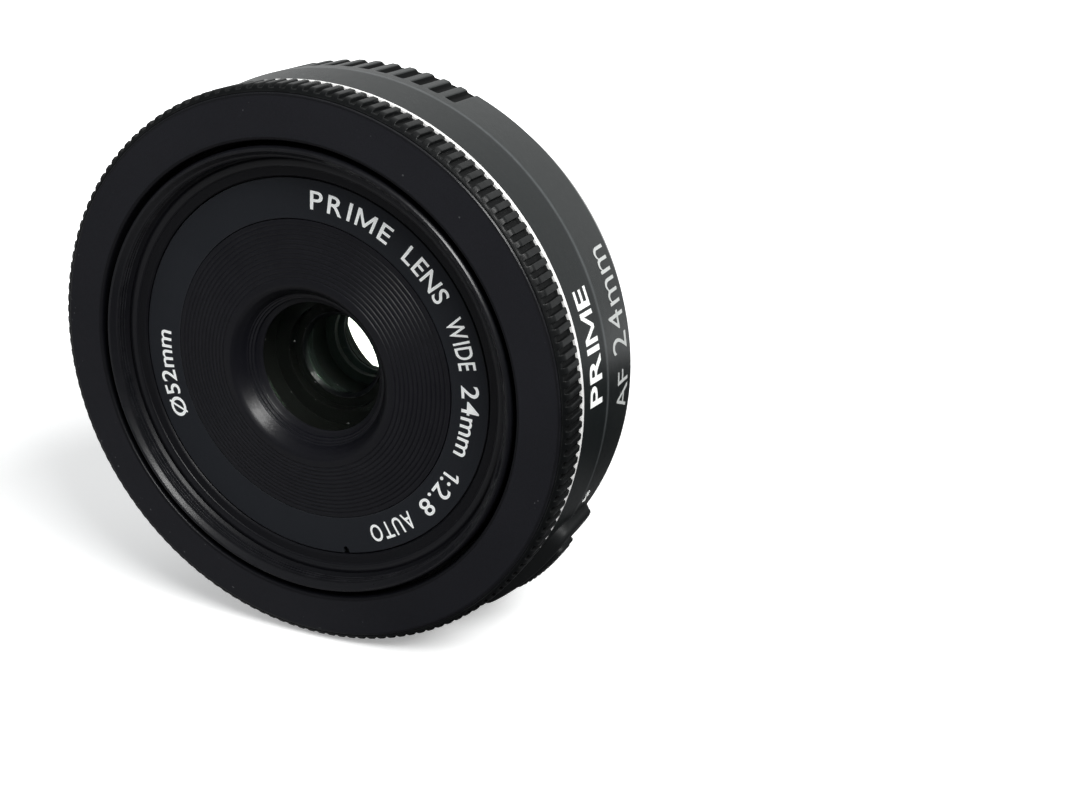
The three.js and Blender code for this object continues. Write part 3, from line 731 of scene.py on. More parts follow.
# across one tooth pitch: place as a part of the pitch, and part of the tooth height
TOOTH_PLACE = np.array([0.0, 0.16, 0.20, 0.255, 0.315, 0.685, 0.745, 0.80, 0.84])
TOOTH_HEIGHT = np.array([0.0, 0.0, 0.06, 0.86, 1.0, 1.0, 0.86, 0.06, 0.0])
TIP, ROOT = 33.76, 33.30
# radius at the root, radius at the tip, forward
FOCUS_RING = np.array([
    (32.25, 32.25, 18.30), (32.95, 32.95, 18.30), (33.10, 33.22, 18.31), (33.22, 33.58, 18.33),
    (33.36, 33.71, 18.37), (33.45, TIP, 18.44), (33.45, TIP, 18.70), (33.36, TIP, 18.84),
    (ROOT, TIP, 18.95), (ROOT, TIP, 20.20), (ROOT, TIP, 21.42), (ROOT, 33.745, 21.56),
    (ROOT, 33.69, 21.72), (33.305, 33.60, 21.86), (33.315, 33.49, 21.98), (33.30, 33.37, 22.08),
    (33.25, 33.26, 22.16), (33.14, 33.14, 22.25), (33.05, 33.05, 22.31), (32.99, 32.99, 22.335),
    (32.94, 32.94, 22.315), (32.86, 32.86, 22.31), (32.82, 32.82, 22.36), (32.79, 32.79, 22.43),
    (32.73, 32.73, 22.467), (32.64, 32.64, 22.487), (32.50, 32.50, 22.498),
    (30.20, 30.20, 22.652), (28.30, 28.30, 22.780), (28.10, 28.10, 22.790),
    (27.98, 27.98, 22.785), (27.87, 27.87, 22.750), (27.78, 27.78, 22.680),
    (27.72, 27.72, 22.560), (27.72, 27.72, 22.30), (27.72, 27.72, 20.90), (27.72, 27.72, 20.66),
    (27.78, 27.78, 20.60), (28.54, 28.54, 20.60), (28.60, 28.60, 20.66), (28.60, 28.60, 21.44),
    (28.66, 28.66, 21.50), (32.14, 32.14, 21.50), (32.20, 32.20, 21.44), (32.20, 32.20, 18.35),
])


def focus_ring():
    angles = (np.arange(TEETH)[:, None] + TOOTH_PLACE[None, :]).ravel() * 360.0 / TEETH
    tooth = np.tile(TOOTH_HEIGHT, TEETH)
    root, tip, forward = FOCUS_RING.T
    radius = root[None, :] + tooth[:, None] * (tip - root)[None, :]
    # slots along the profile: back edge, knurl, front bevel, face, opening
    # painted shade: the opening behind the face takes the darker recess shade plastic
    row_mats = np.repeat([0, 1, 3, 0, 2], [1, 20, 5, 3, 16])
    face_mats = np.tile(row_mats, (len(angles), 1))
    # painted shade: the knurl's gaps are given the near-black groove shade plastic along the knurl
    valleys = np.tile((TOOTH_PLACE > 0.74) | (TOOTH_PLACE < 0.20), TEETH)
    face_mats[valleys, 2:14] = 4
    mats = ("ring_plastic", "knurl_plastic", "inner_step_plastic", "front_plastic",
            "groove_plastic")
    skin = place(radius, angles[:, None], forward[None, :])
    ob = grid("focus_ring_visual", skin, mats, face_mats=face_mats)
    put(ob, "focus_ring", "ring_plastic", "focus_ring")


focus_ring()

# ---------------------------------------------------------------- bright trim ring
silver = ring(
    "silver_ring_visual",
    [(32.05, 17.66), (33.65, 17.66, 0.05), (33.65, 18.20, 0.05), (33.56, 18.24, 0.04),
     (32.05, 18.24)],
    ("silver_trim",), segments=360, default=0.04,
)
put(silver, "lens_body", "silver_trim", "silver_ring")

# ---------------------------------------------------------------- main barrel with grip grooves
GROOVE_PITCH = 3.82
GROOVE_FLOOR = 33.52  # radius
GROOVE_ANGLES = [57.55 + i * GROOVE_PITCH for i in range(17)]
GROOVE_ANGLES += [-95 - i * GROOVE_PITCH for i in range(9)]
# half a groove: degrees from its centre, part of the full depth
GROOVE_HALF = (
    (1.45, 0.0), (1.22, 0.06), (1.06, 0.22), (0.92, 0.60), (0.80, 0.90), (0.68, 1.0), (0.0, 1.0),
)
TAPER_FRONT_R, TAPER_FRONT = 33.33, 16.8
# radius, forward, part of the groove depth that reaches this row
BARREL = np.array([
    (12.60, 1.82, 0), (12.67, 1.75, 0), (27.0, 1.75, 0), (31.60, 1.75, 0), (31.80, 1.765, 0),
    (31.96, 1.83, 0), (32.10, 1.94, 0), (33.62, 3.46, 0), (33.66, 3.50, 1), (33.86, 3.71, 1),
    (33.98, 3.86, 1), (34.06, 4.02, 1), (BARREL_R, 4.25, 1), (BARREL_R, 6.5, 1),
    (BARREL_R, 9.30, 1), (BARREL_R, 9.50, 0.93), (BARREL_R, 9.64, 0.60), (BARREL_R, 9.76, 0.18),
    (BARREL_R, 9.86, 0), (BARREL_R, 10.40, 0), (BARREL_R, 11.05, 0), (34.095, 11.25, 0),
    (34.075, 11.50, 0), (34.035, 11.85, 0), (33.70, 14.20, 0), (TAPER_FRONT_R, TAPER_FRONT, 0),
    (33.29, 16.98, 0), (33.22, 17.14, 0), (33.10, 17.25, 0), (32.95, 17.30, 0),
    (32.42, 17.30, 0), (32.35, 17.23, 0), (32.35, 3.32, 0), (32.28, 3.25, 0), (12.67, 3.25, 0),
    (12.60, 3.18, 0),
])


def main_barrel():
    columns = {}  # angle -> part of the groove depth
    for centre in GROOVE_ANGLES:
        for away, part in GROOVE_HALF:
            for side in (-1, 1):
                columns[round((centre + side * away) % 360, 4)] = part
    for angle in np.arange(0, 360, 1.5):
        if min(abs(angle_from(centre, angle)) for centre in GROOVE_ANGLES) > 1.6:
            columns[round(float(angle), 4)] = 0.0
    angles = np.array(sorted(columns))
    depth = np.array([columns[angle] for angle in angles])
    radius, forward, reach = BARREL.T
    full_depth = radius - np.minimum(radius, GROOVE_FLOOR)
    grooved = radius[None, :] - depth[:, None] * reach[None, :] * full_depth[None, :]
    skin = place(grooved, angles[:, None], forward[None, :])
    ob = grid("main_barrel_visual", skin, ("barrel_plastic", "groove_plastic"), limit=30)
    # painted shade: the floor and one wall of each grip groove, over the grooves' length, are
    # given the near-black groove shade plastic
    dark_columns = np.array(
        [any(-0.74 < angle_from(centre, a) < 1.0 for centre in GROOVE_ANGLES) for a in angles]
    )
    dark_rows = (reach > 0.15) & (forward < 9.8)
    dark = dark_columns[:, None] & dark_rows[None, :]
    ob.data.polygons.foreach_set("material_index", dark.ravel().astype(np.int32))
    put(ob, "lens_body", "barrel_plastic", "main_barrel")


main_barrel()

# ---------------------------------------------------------------- focus mode switch
SWITCH_R = 34.5  # radius at which outline arcs are measured
KNOB_ANGLE = -51.7
KNOB_START, KNOB_END = KNOB_ANGLE - 7.2, KNOB_ANGLE + 7.2
RIB_PITCH = 1.32  # degrees


def outline(a0, a1, h0, h1, corner):
    """Rounded rectangle from angle a0 to a1 and forward h0 to h1, as (angle, forward) pairs."""
    s0, s1 = math.radians(a0) * SWITCH_R, math.radians(a1) * SWITCH_R
    points = []
    # corner centre (arc length, forward), first direction, end of the next side, its pieces
    for middle_s, middle_h, first, end, pieces in (
        (s1 - corner, h0 + corner, -90, (s1, h1 - corner), 6),
        (s1 - corner, h1 - corner, 0, (s0 + corner, h1), 14),
        (s0 + corner, h1 - corner, 90, (s0, h0 + corner), 6),
        (s0 + corner, h0 + corner, 180, (s1 - corner, h0), 14),
    ):
        for k in range(6):
            turn = math.radians(first + 90 * k / 5)
            points.append(
                (middle_s + corner * math.cos(turn), middle_h + corner * math.sin(turn))
            )
        start = points[-1]
        for k in range(1, pieces):
            part = k / pieces
            points.append(tuple(p + (q - p) * part for p, q in zip(start, end)))
    return np.array([(math.degrees(s / SWITCH_R), h) for s, h in points])


def slab(name, stack):
    """Loft through (outline, radius) levels, inside to outside."""
    loops = [place(radius, shape[:, 0], shape[:, 1]) for shape, radius in stack]
    return loft(name, loops, ("trim_plastic",), split_ends=True)


foot = outline(-66.6, -37.7, 4.9, 15.1, 2.3)
# barrel radius under the foot, so that the foot sits in the barrel
foot_r = np.where(foot[:, 1] < CREASE, 34.0, 34.0 - (foot[:, 1] - CREASE) * 0.1437)
switch_base = slab(
    "switch_base_visual",
    [
        (foot, foot_r - 0.25),
        (foot, foot_r + 0.06),
        (outline(-66.3, -38.0, 5.12, 14.88, 2.2), foot_r + 0.22),
        (outline(-65.95, -38.35, 5.38, 14.62, 2.1), np.maximum(foot_r + 0.75, 34.75)),
        (outline(-65.8, -38.5, 5.50, 14.50, 2.0), 35.06),
        (outline(-65.55, -38.75, 5.66, 14.34, 1.9), 35.22),
        (outline(-65.2, -39.1, 5.90, 14.10, 1.8), 35.30),
        # down into the knob's recess
        (outline(-64.85, -43.55, 7.05, 12.95, 1.35), 35.30),
        (outline(-64.72, -43.68, 7.13, 12.87, 1.3), 35.26),
        (outline(-64.62, -43.78, 7.19, 12.81, 1.25), 35.14),
        (outline(-64.6, -43.8, 7.20, 12.80, 1.2), 34.74),
        (outline(-64.5, -43.9, 7.27, 12.73, 1.15), 34.70),
        # and into the slot in its floor
        (outline(-58.4, -50.1, 8.45, 10.15, 0.6), 34.70),
        (outline(-58.3, -50.2, 8.52, 10.08, 0.55), 34.60),
        (outline(-58.3, -50.2, 8.52, 10.08, 0.55), 33.9),
    ],
)
put(switch_base, "lens_body", "trim_plastic", "switch_base")

cap = outline(KNOB_START, KNOB_END, 7.8, 12.2, 1.0)
stem = outline(KNOB_ANGLE - 0.95, KNOB_ANGLE + 0.95, 8.8, 9.8, 0.2)
knob_parts = [
    slab(
        "knob_cap",
        [
            (cap, 34.84),
            (cap, 35.50),
            (outline(KNOB_START + 0.12, KNOB_END - 0.12, 7.87, 12.13, 0.95), 35.66),
            (outline(KNOB_START + 0.35, KNOB_END - 0.35, 8.0, 12.0, 0.9), 35.75),
            (outline(KNOB_START + 0.70, KNOB_END - 0.70, 8.2, 11.8, 0.8), 35.78),
        ],
    ),
    slab("knob_stem", [(stem, 34.0), (stem, 35.0)]),
]
for k in range(-4, 5):  # finger ribs across the knob
    middle = KNOB_ANGLE + k * RIB_PITCH
    top = 36.0 - 0.006 * k * k
    rib = outline(middle - 0.40, middle + 0.40, 8.45, 11.55, 0.16)
    stack = [
        (rib, 35.60),
        (rib, top - 0.16),
        (outline(middle - 0.33, middle + 0.33, 8.52, 11.48, 0.13), top - 0.05),
        (outline(middle - 0.20, middle + 0.20, 8.62, 11.38, 0.09), top),
    ]
    knob_parts.append(slab(f"knob_rib{k}", stack))
put(joined("switch_knob_visual", knob_parts), "mode_switch", "trim_plastic", "switch_knob")

# ---------------------------------------------------------------- filter barrel: rim, thread, step
THREAD_R, THREAD_PITCH = 25.80, 0.48
filter_profile = [
    (25.4, 6.0), (27.08, 6.0), (27.08, 22.44, 0.26), (26.80, FRONT_RIM, 0.30),
    (26.56, FRONT_RIM, 0.10), (26.04, 22.16, 0.10), (THREAD_R, 22.10, 0.04),
]
for k in range(3):
    middle = 21.90 - THREAD_PITCH * k
    filter_profile += [
        (THREAD_R, middle + 0.13, 0.03), (26.06, middle, 0.03), (THREAD_R, middle - 0.13, 0.03),
    ]
filter_profile += [
    (THREAD_R, 20.74, 0.06), (25.50, 20.34, 0.06), (25.20, 20.46, 0.16), (24.80, 20.44, 0.16),
    (24.35, 20.20, 0.05), (24.30, 20.10, 0.04), (23.42, 19.98, 0.08), (23.22, 19.78, 0.05),
    (23.2, 19.2), (11.9, 19.2), (11.9, 18.0), (25.4, 18.0),
]
# painted shade: the thread roots and the step under the thread take the darker recess shade
# plastic
filter_barrel = ring(
    "filter_barrel_visual", filter_profile, ("front_plastic", "inner_step_plastic"),
    segments=320, default=0.05, limit=42,
    pick=lambda radius, forward: int(
        (radius < 24.5 or 25.4 < radius < 25.9) and forward < 22.14
    ),
)
put(filter_barrel, "focusing_unit", "front_plastic", "filter_barrel")

# ---------------------------------------------------------------- name ring with a small notch
NOTCH_ANGLE = -81.0 - ROLL
NOTCH_HALF, NOTCH_DEPTH = 1.05, 0.8  # degrees, mm


def name_ring():
    coarse = [
        round(a, 3) for a in np.arange(0, 360, 1.5) if abs(angle_from(NOTCH_ANGLE, a)) > 1.4
    ]
    fine = [round((NOTCH_ANGLE + d) % 360, 3) for d in np.linspace(-1.3, 1.3, 17)]
    angles = np.array(sorted(set(coarse + fine)))
    away = angle_from(NOTCH_ANGLE, angles)
    bow = np.sqrt(np.clip(1 - (away / NOTCH_HALF) ** 2, 0, 1)) ** 0.6
    depth = np.where(np.abs(away) < NOTCH_HALF, NOTCH_DEPTH * bow, 0.0)
    profile = turned(
        [(18.42, 19.25, 0.03), (23.06, 19.25, 0.03), (23.06, 19.81, 0.09), (18.42, 19.81, 0.09)]
    )
    radius = np.broadcast_to(profile[None, :, 0], (len(angles), len(profile))).copy()
    radius[:, profile[:, 0] > 22.5] -= depth[:, None]
    skin = place(radius, angles[:, None], profile[None, :, 1])
    ob = grid("name_ring_visual", skin, ("name_ring_plastic",))
    put(ob, "focusing_unit", "front_plastic", "name_ring")


name_ring()

# ---------------------------------------------------------------- front baffle: cone, lip, bowl
CONE_R = 18.33
BAFFLE_GROOVES, BAFFLE_PITCH = 12, 0.545


def cone(radius):
    """Forward place of the cone's surface at a radius."""
    return 19.86 + (CONE_R - radius) * (20.66 - 19.86) / (CONE_R - 10.87)


baffle_profile = [
    (8.04, 17.50, 0.02), (10.4, 17.62, 0.02), (10.9, 18.9, 0.02), (11.7, 19.27, 0.02),
    (CONE_R, 19.27, 0.02), (CONE_R, cone(CONE_R), 0.06),
]
for k in range(BAFFLE_GROOVES):
    middle = 17.72 - BAFFLE_PITCH * k
    bottom = cone(middle) - 0.075
    baffle_profile += [
        (middle + 0.14, cone(middle + 0.14), 0.03), (middle + 0.03, bottom, 0.02),
        (middle - 0.03, bottom, 0.02), (middle - 0.14, cone(middle - 0.14), 0.03),
    ]
baffle_profile += [
    (11.05, cone(11.05), 0.12), (10.72, 20.64, 0.12), (10.30, 20.36, 0.16), (9.72, 19.62, 0.14),
    (9.40, 19.05, 0.04), (9.28, 18.98, 0.03), (9.24, 18.80, 0.03), (9.02, 18.72, 0.03),
    (8.98, 18.52, 0.03), (8.74, 18.43, 0.03), (8.66, 18.12, 0.05), (8.36, 17.90, 0.04),
    (8.04, 17.70, 0.03),
]
baffle = ring(
    "front_baffle_visual", baffle_profile, ("baffle_plastic",),
    segments=280, default=0.03, steps=2, limit=40,
)
put(baffle, "focusing_unit", "front_plastic", "front_baffle")

# ---------------------------------------------------------------- glass elements
# node, rim radius, front face (middle, edge, radius), rear face (the same), glass
ELEMENTS = (
    ("lens_1_front_meniscus", 8.45, (18.06, 17.42, 8.45), (16.94, 14.1, 6.8), "front"),
    ("lens_2_positive", 6.6, (13.3, 11.65, 6.6), (9.5, 10.05, 6.6), "inner"),
    ("lens_3_negative", 8.65, (1.5, 2.4, 8.0), (0.8, -0.9, 8.65), "inner"),
    ("lens_4_positive", 8.65, (0.75, -0.95, 8.65), (-2.1, -1.3, 8.65), "inner"),
    ("lens_5_aspheric", 9.5, (-2.45, -1.98, 9.5), (-3.2, -2.75, 9.5), "inner"),
    ("lens_6_rear_positive", 10.75, (-3.4, -3.8, 10.75), (-5.5, -4.9, 10.75), "rear"),
)


def lens_face(middle, edge, radius, steps=14):
    """Points along a spherical face from the axis to its edge."""
    sag = edge - middle
    curve = (radius * radius + sag * sag) / (2 * sag)
    points = []
    for i in range(steps + 1):
        r = radius * i / steps
        depth = curve - math.copysign(math.sqrt(curve * curve - r * r), curve)
        points.append((r, middle + depth, 0.0))
    return points


for node, rim, front, rear, kind in ELEMENTS:
    points = lens_face(*front)
    for _, edge, radius in (front, rear):
        if radius < rim - 1e-6:
            points.append((rim, edge, 0.05))
    points += lens_face(*rear)[::-1]
    ob = dome(f"{node[:6]}_visual", points, (f"optical_glass_{kind}",), segments=128, limit=30)
    ob.visible_shadow = False
    put(ob, "focusing_unit", "optical_glass", node)

# ---------------------------------------------------------------- lens cells and rings inside
front_cell = ring(
    "front_cell_visual",
    [(8.6, 13.9), (8.6, 17.35), (10.3, 17.35), (10.95, 17.9), (15, 17.9), (15, 16.7),
     (9.2, 16.7), (9.2, 6.2), (6.2, 6.2), (6.2, 9.4), (6.7, 9.4), (6.7, 13.9)],
    ("inner_plastic",), segments=160, default=0.06,
)
put(front_cell, "focusing_unit", "inner_plastic", "front_lens_cell")
inner_stop = ring(
    "inner_stop_visual",
    [(4.98, 12.40, 0.03), (5.45, 12.2, 0.03), (6.65, 11.75, 0.03), (6.65, 12.70, 0.03),
     (5.55, 12.70, 0.04), (5.48, 12.86, 0.05), (5.38, 12.85, 0.06), (5.02, 12.44, 0.04)],
    ("front_plastic", "inner_plastic"), segments=160, default=0.03, steps=4,
    pick=lambda radius, forward: 0 if radius < 5.5 else 1,
)
put(inner_stop, "focusing_unit", "inner_plastic")
rear_cell = ring(
    "rear_cell_visual",
    [(8.8, 2.6), (11.9, 2.6), (11.9, -5.9, 0.15), (10.9, -5.9, 0.12), (10.9, -3.3), (9.6, -3.3),
     (9.6, -1.85), (8.3, -1.85), (8.3, -1.45), (8.8, -1.45)],
    ("inner_plastic",), segments=160, default=0.06,
)
put(rear_cell, "focusing_unit", "inner_plastic", "rear_lens_cell")

# name, replaced node, body, slot, material, inner and outer radius, back, front, rounding
PLAIN_RINGS = (
    ("rear_retainer", "rear_retaining_ring", "focusing_unit", "inner_plastic", "rear_plastic",
     10.4, 10.8, -5.55, -5.05, 0.06),
    ("cam_housing", "cam_housing", "lens_body", "inner_plastic", "inner_plastic",
     30.45, 31.75, 3.35, 17.0, 0.08),
    ("bearing", "focus_ring_bearing", "lens_body", "inner_plastic", "inner_plastic",
     28.9, 30.1, 18.4, 21.3, 0.08),
    ("encoder", "encoder_ring", "focus_ring", "steel", "steel", 31.0, 31.4, 19.3, 21.4, 0.04),
)
for name, node, body, slot, mat, inner, outer, back, front, rounding in PLAIN_RINGS:
    section = [(inner, back), (outer, back), (outer, front), (inner, front)]
    ob = ring(f"{name}_visual", section, (mat,), segments=160, default=rounding)
    put(ob, body, slot, node)


# ---------------------------------------------------------------- mount flange: plate, tube, lugs
def arc_block(name, radii, angles, forwards, mats, bevel):
    """Block bent round the axis, with a small bevel on its outer edges."""
    (r0, r1), (a0, a1), (h0, h1) = radii, angles, forwards
    pieces = max(2, int(abs(a1 - a0) / 1.5))
    bevel_turn = math.degrees(bevel / r1)
    stations = [a0, a0 + bevel_turn * 0.4, a0 + bevel_turn]
    stations += list(np.linspace(a0 + bevel_turn, a1 - bevel_turn, pieces)[1:-1])
    stations += [a1 - bevel_turn, a1 - bevel_turn * 0.4, a1]
    insets = [bevel, bevel * 0.35, 0] + [0] * (pieces - 2) + [0, bevel * 0.35, bevel]
    loops = []
    for angle, inset in zip(stations, insets):
        low, high = h0 + inset, h1 - inset
        section = turned(
            [(r0, low), (r1 - inset, low), (r1 - inset, high), (r0, high)],
            default=bevel, steps=2,
        )
        loops.append(place(section[:, 0], angle, section[:, 1]))
    return loft(name, loops, mats)


def drill(radius, back, front, centre, segments=40):
    """Cylinder used as a cutter."""
    points = [(0, front), (radius, front, 0), (radius, back, 0), (0, back)]
    return dome("cutter", points, (), segments, centre)


flange = ring(
    "mount_flange_visual",
    [(24.2, -5.1, 0.12), (25.35, -5.1, 0.14), (25.35, 0.2, 0.06), (26.95, 0.2, 0.04),
     (27.0, 0, 0.04), (32.2, 0, 0.06), (32.45, 0.25, 0.06), (32.45, 1.65, 0.06),
     (24.2, 1.65, 0.06)],
    ("mount_metal",), segments=300,
)
for angle in SCREW_ANGLES:
    cut(flange, drill(1.36, -1.0, 0.8, (SCREW_CIRCLE, angle)))
# short slot in the plate
cut(flange, arc_block("cutter", (28.4, 31.0), (96, 100.4), (-1, 1.0), (), bevel=0.02))
lugs = [
    arc_block("lug", (25.0, 26.85), span, (-5.0, -3.5), ("mount_metal",), bevel=0.16)
    for span in ((15, 67), (138, 184), (256, 306))
]
flange = joined("mount_flange_visual", [flange] + lugs)
put(flange, "lens_body", "mount_metal", "mount_flange")


def cross_recess(centre, turn, half_width=0.16, half_length=0.78):
    """Cutter for a screw's cross; it narrows with depth."""
    centre_x = centre[0] * math.cos(math.radians(centre[1]))
    centre_y = centre[0] * math.sin(math.radians(centre[1]))
    w, l = half_width, half_length
    cross = [(-l, -w), (-w, -w), (-w, -l), (w, -l), (w, -w), (l, -w),
             (l, w), (w, w), (w, l), (-w, l), (-w, w), (-l, w)]
    cos, sin = math.cos(turn), math.sin(turn)
    cross = [(x * cos - y * sin, x * sin + y * cos) for x, y in cross]
    loops = [
        np.array([place_xy(centre_x + x * size, centre_y + y * size, h) for x, y in cross])
        for h, size in ((-0.4, 1.0), (0.05, 0.95), (0.42, 0.45))
    ]
    return loft("cutter", loops)


for i, angle in enumerate(SCREW_ANGLES):
    centre = (SCREW_CIRCLE, angle)
    screw = dome(
        f"mount_screw_{i + 1}_visual",
        [(0, -0.02), (0.55, -0.01, 0.02), (1.02, 0.06, 0.1), (1.22, 0.22, 0.08),
         (1.22, 0.7, 0.05), (0.6, 0.78, 0.03), (0.6, 3.05, 0.1), (0, 3.05)],
        ("steel",), segments=48, centre=centre,
    )
    cut(screw, cross_recess(centre, math.radians(angle + 17 + 31 * i)))
    put(screw, "lens_body", "steel", f"mount_screw_{i + 1}")

# ---------------------------------------------------------------- rear shroud, contact block, pins
PIN_CIRCLE, PIN_PITCH = 21.4, 8.4  # mm, degrees
PIN_ANGLES = [180 + i * PIN_PITCH for i in range(-3, 4)]

shroud = ring(
    "rear_shroud_visual",
    [(12.4, -6.35, 0.2), (14.2, -6.35, 0.1), (14.5, -6.05, 0.1), (17.9, -6.05, 0.1),
     (18.2, -6.35, 0.1), (23.95, -6.35, 0.25), (23.95, 1.6), (22.9, 1.6), (22.9, -5.5),
     (13.1, -5.5), (13.1, -2.0), (12.4, -2.0, 0.15)],
    ("rear_plastic",),
)
put(shroud, "lens_body", "rear_plastic", "rear_shroud")
block = arc_block(
    "contact_block_visual", (19.4, 23.3), (146, 214), (-7.2, -6.4), ("rear_plastic",), bevel=0.18
)
for angle in PIN_ANGLES:
    cut(block, drill(0.70, -8.0, -6.62, (PIN_CIRCLE, angle), segments=32))
put(block, "lens_body", "rear_plastic", "contact_block")
for i, angle in enumerate(PIN_ANGLES):
    pin = dome(
        f"contact_pin_{i + 1}_visual",
        [(0, -7.40), (0.22, -7.39, 0.05), (0.44, -7.30, 0.08), (0.56, -7.12, 0.06),
         (0.56, -6.45, 0.03), (0, -6.45)],
        ("contact_gold",), segments=32, centre=(PIN_CIRCLE, angle),
    )
    put(pin, "lens_body", "contact_gold", f"contact_pin_{i + 1}")


# ---------------------------------------------------------------- red dot on the rear chamfer
def index_dot():
    """Built on the lens axis, then moved to the chamfer at the lens top and tilted."""
    ob = dome(
        "mount_index_dot",
        [(0, 2.95), (0.8, 2.93, 0.1), (0.95, 2.8, 0.05), (0.95, 2.5), (0, 2.5)][:3]
        + [(0.95, 2.5, 0.05), (0, 2.5)],
        ("index_print",), segments=40,
    )
    roll, tilt = math.radians(ROLL), math.radians(45)
    origin = np.array([0, FLANGE_Y, 0])
    # rows: lens x, lens y and forward as scene directions
    lens_axes = np.array([
        (math.cos(roll), 0, math.sin(roll)), (-math.sin(roll), 0, math.cos(roll)), (0, -1.0, 0),
    ])
    # rows: up the chamfer, across it, and out of it, in lens coordinates
    dot_axes = np.array([
        (math.cos(tilt), 0, math.sin(tilt)), (0, 1.0, 0), (math.sin(tilt), 0, -math.cos(tilt)),
    ])
    local = (coordinates(ob.data) * 1000 - origin) @ lens_axes.T
    local[:, 2] -= 2.86
    moved = (np.array([32.95, 0, 2.75]) + local @ dot_axes) @ lens_axes + origin
    ob.data.vertices.foreach_set("co", (moved * MM).astype(np.float32).ravel())
    ob.data.update()
    put(ob, "lens_body", "barrel_plastic")


index_dot()

# ---------------------------------------------------------------- lettering
# outlines of characters that are drawn here; the others come from the font
DRAWN = {
    "1": [(0.15, 0), (0.25, 0), (0.25, 0.682), (0.165, 0.682), (0, 0.575), (0, 0.475),
          (0.15, 0.565)],
    "M": [(0, 0), (0.10, 0), (0.10, 0.49), (0.31, 0.07), (0.39, 0.07), (0.60, 0.49), (0.60, 0),
          (0.70, 0), (0.70, 0.682), (0.585, 0.682), (0.35, 0.215), (0.115, 0.682), (0, 0.682)],
}


@cache
def glyph(char, bold=0.0):
    """Points and faces of one character, baseline at 0, one unit thick."""
    if char in DRAWN:
        shape = DRAWN[char]
        count = len(shape)
        points = np.array([(x, y, z) for z in (0.5, -0.5) for x, y in shape])
        faces = [list(range(count)), [count + i for i in range(count)][::-1]]
        for i in range(count):
            k = (i + 1) % count
            faces.append([i, count + i, count + k, k])
        return points, faces
    curve = bpy.data.curves.new("letter", "FONT")
    curve.body = char
    curve.size = 1.0
    curve.offset = bold
    curve.extrude = 0.5
    curve.resolution_u = 6
    ob = link("letter", curve)
    graph = bpy.context.evaluated_depsgraph_get()
    mesh = bpy.data.meshes.new_from_object(ob.evaluated_get(graph), depsgraph=graph)
    points = coordinates(mesh)
    faces = [list(face.vertices) for face in mesh.polygons]
    bpy.data.objects.remove(ob)
    bpy.data.curves.remove(curve)
    bpy.data.meshes.remove(mesh)
    return points, faces


capital_y = glyph("H")[0][:, 1]
CAPITAL_LOW, CAPITAL_TOP = capital_y.min(), capital_y.max()


def word(chars, start, end, height, bold, widest, radius, direction):
    """Letters stretched alike and spaced evenly, filling the angle from start to end.

    Gives (char, angle of its centre, height, width, bold) for each.
    """
    length = math.radians(abs(end - start)) * radius
    widths = []
    for char in chars:
        x = glyph(char, bold)[0][:, 0]
        widths.append((x.max() - x.min()) / CAPITAL_TOP * height)
    least_gaps = 0.16 * height * (len(widths) - 1)
    stretch = min(widest, (length - least_gaps) / sum(widths))
    widths = [width * stretch for width in widths]
    gap = (length - sum(widths)) / (len(widths) - 1)
    letters, along = [], 0.0
    for char, width in zip(chars, widths):
        angle = start + direction * math.degrees((along + width / 2) / radius)
        letters.append((char, angle, height, width, bold))
        along += width + gap
    return letters


def lettering(name, letters, on_surface, mat):
    verts, faces, base = [], [], 0
    for char, angle, height, width, bold in letters:
        points, own_faces = glyph(char, bold)
        scale = height / (CAPITAL_TOP - CAPITAL_LOW)
        x = (points[:, 0] - (points[:, 0].min() + points[:, 0].max()) / 2) * scale
        x *= width / (x.max() - x.min())
        raised = (points[:, 2] > 0).astype(float)
        verts.append(on_surface(angle, x, points[:, 1] * scale, raised))
        faces += [[i + base for i in face] for face in own_faces]
        base += len(points)
    ob = make(name, np.concatenate(verts), faces, mats=(mat,))
    return face_outwards(ob, weld=True)


NAME_BASE_R = 19.75  # radius of the baseline
NAME_MIDDLE_R = NAME_BASE_R + 1.0


# print angles are measured from scene +X, so ROLL is taken off
def on_name_ring(angle, x, y, raised):
    """Letter tops point outward and read clockwise; each letter bends with the ring."""
    turn = angle - np.degrees(x / NAME_MIDDLE_R)
    return place(NAME_BASE_R + y, turn - ROLL, 19.79 + 0.035 * raised)


def on_barrel(baseline):
    def on_surface(angle, x, y, raised):
        forward = baseline + y
        taper = (forward - CREASE) * (BARREL_R - TAPER_FRONT_R) / (TAPER_FRONT - CREASE)
        radius = np.where(forward < CREASE, BARREL_R, BARREL_R - taper)
        turn = angle + np.degrees(x / BARREL_R)
        return place(radius - 0.02 + 0.05 * raised, turn - ROLL, forward)

    return on_surface


# characters, start angle, end angle, height
NAME_WORDS = (
    ("PRIME", 86.3, 56.9, 2.1), ("LENS", 50.4, 31.6, 2.1), ("WIDE", 25.6, 8.9, 2.1),
    ("24mm", 3.9, -20.7, 2.1), ("1:2.8", -27.4, -46.4, 2.1), ("AUTO", -51.6, -69.8, 2.1),
    ("Ø52mm", -156.3, -187.4, 2.05),
)
letters = []
for entry in NAME_WORDS:
    letters += word(*entry, bold=0.009, widest=1.15, radius=NAME_MIDDLE_R, direction=-1)
name_print = lettering("name_ring_print", letters, on_name_ring, "white_print")
put(name_print, "focusing_unit", "front_plastic")

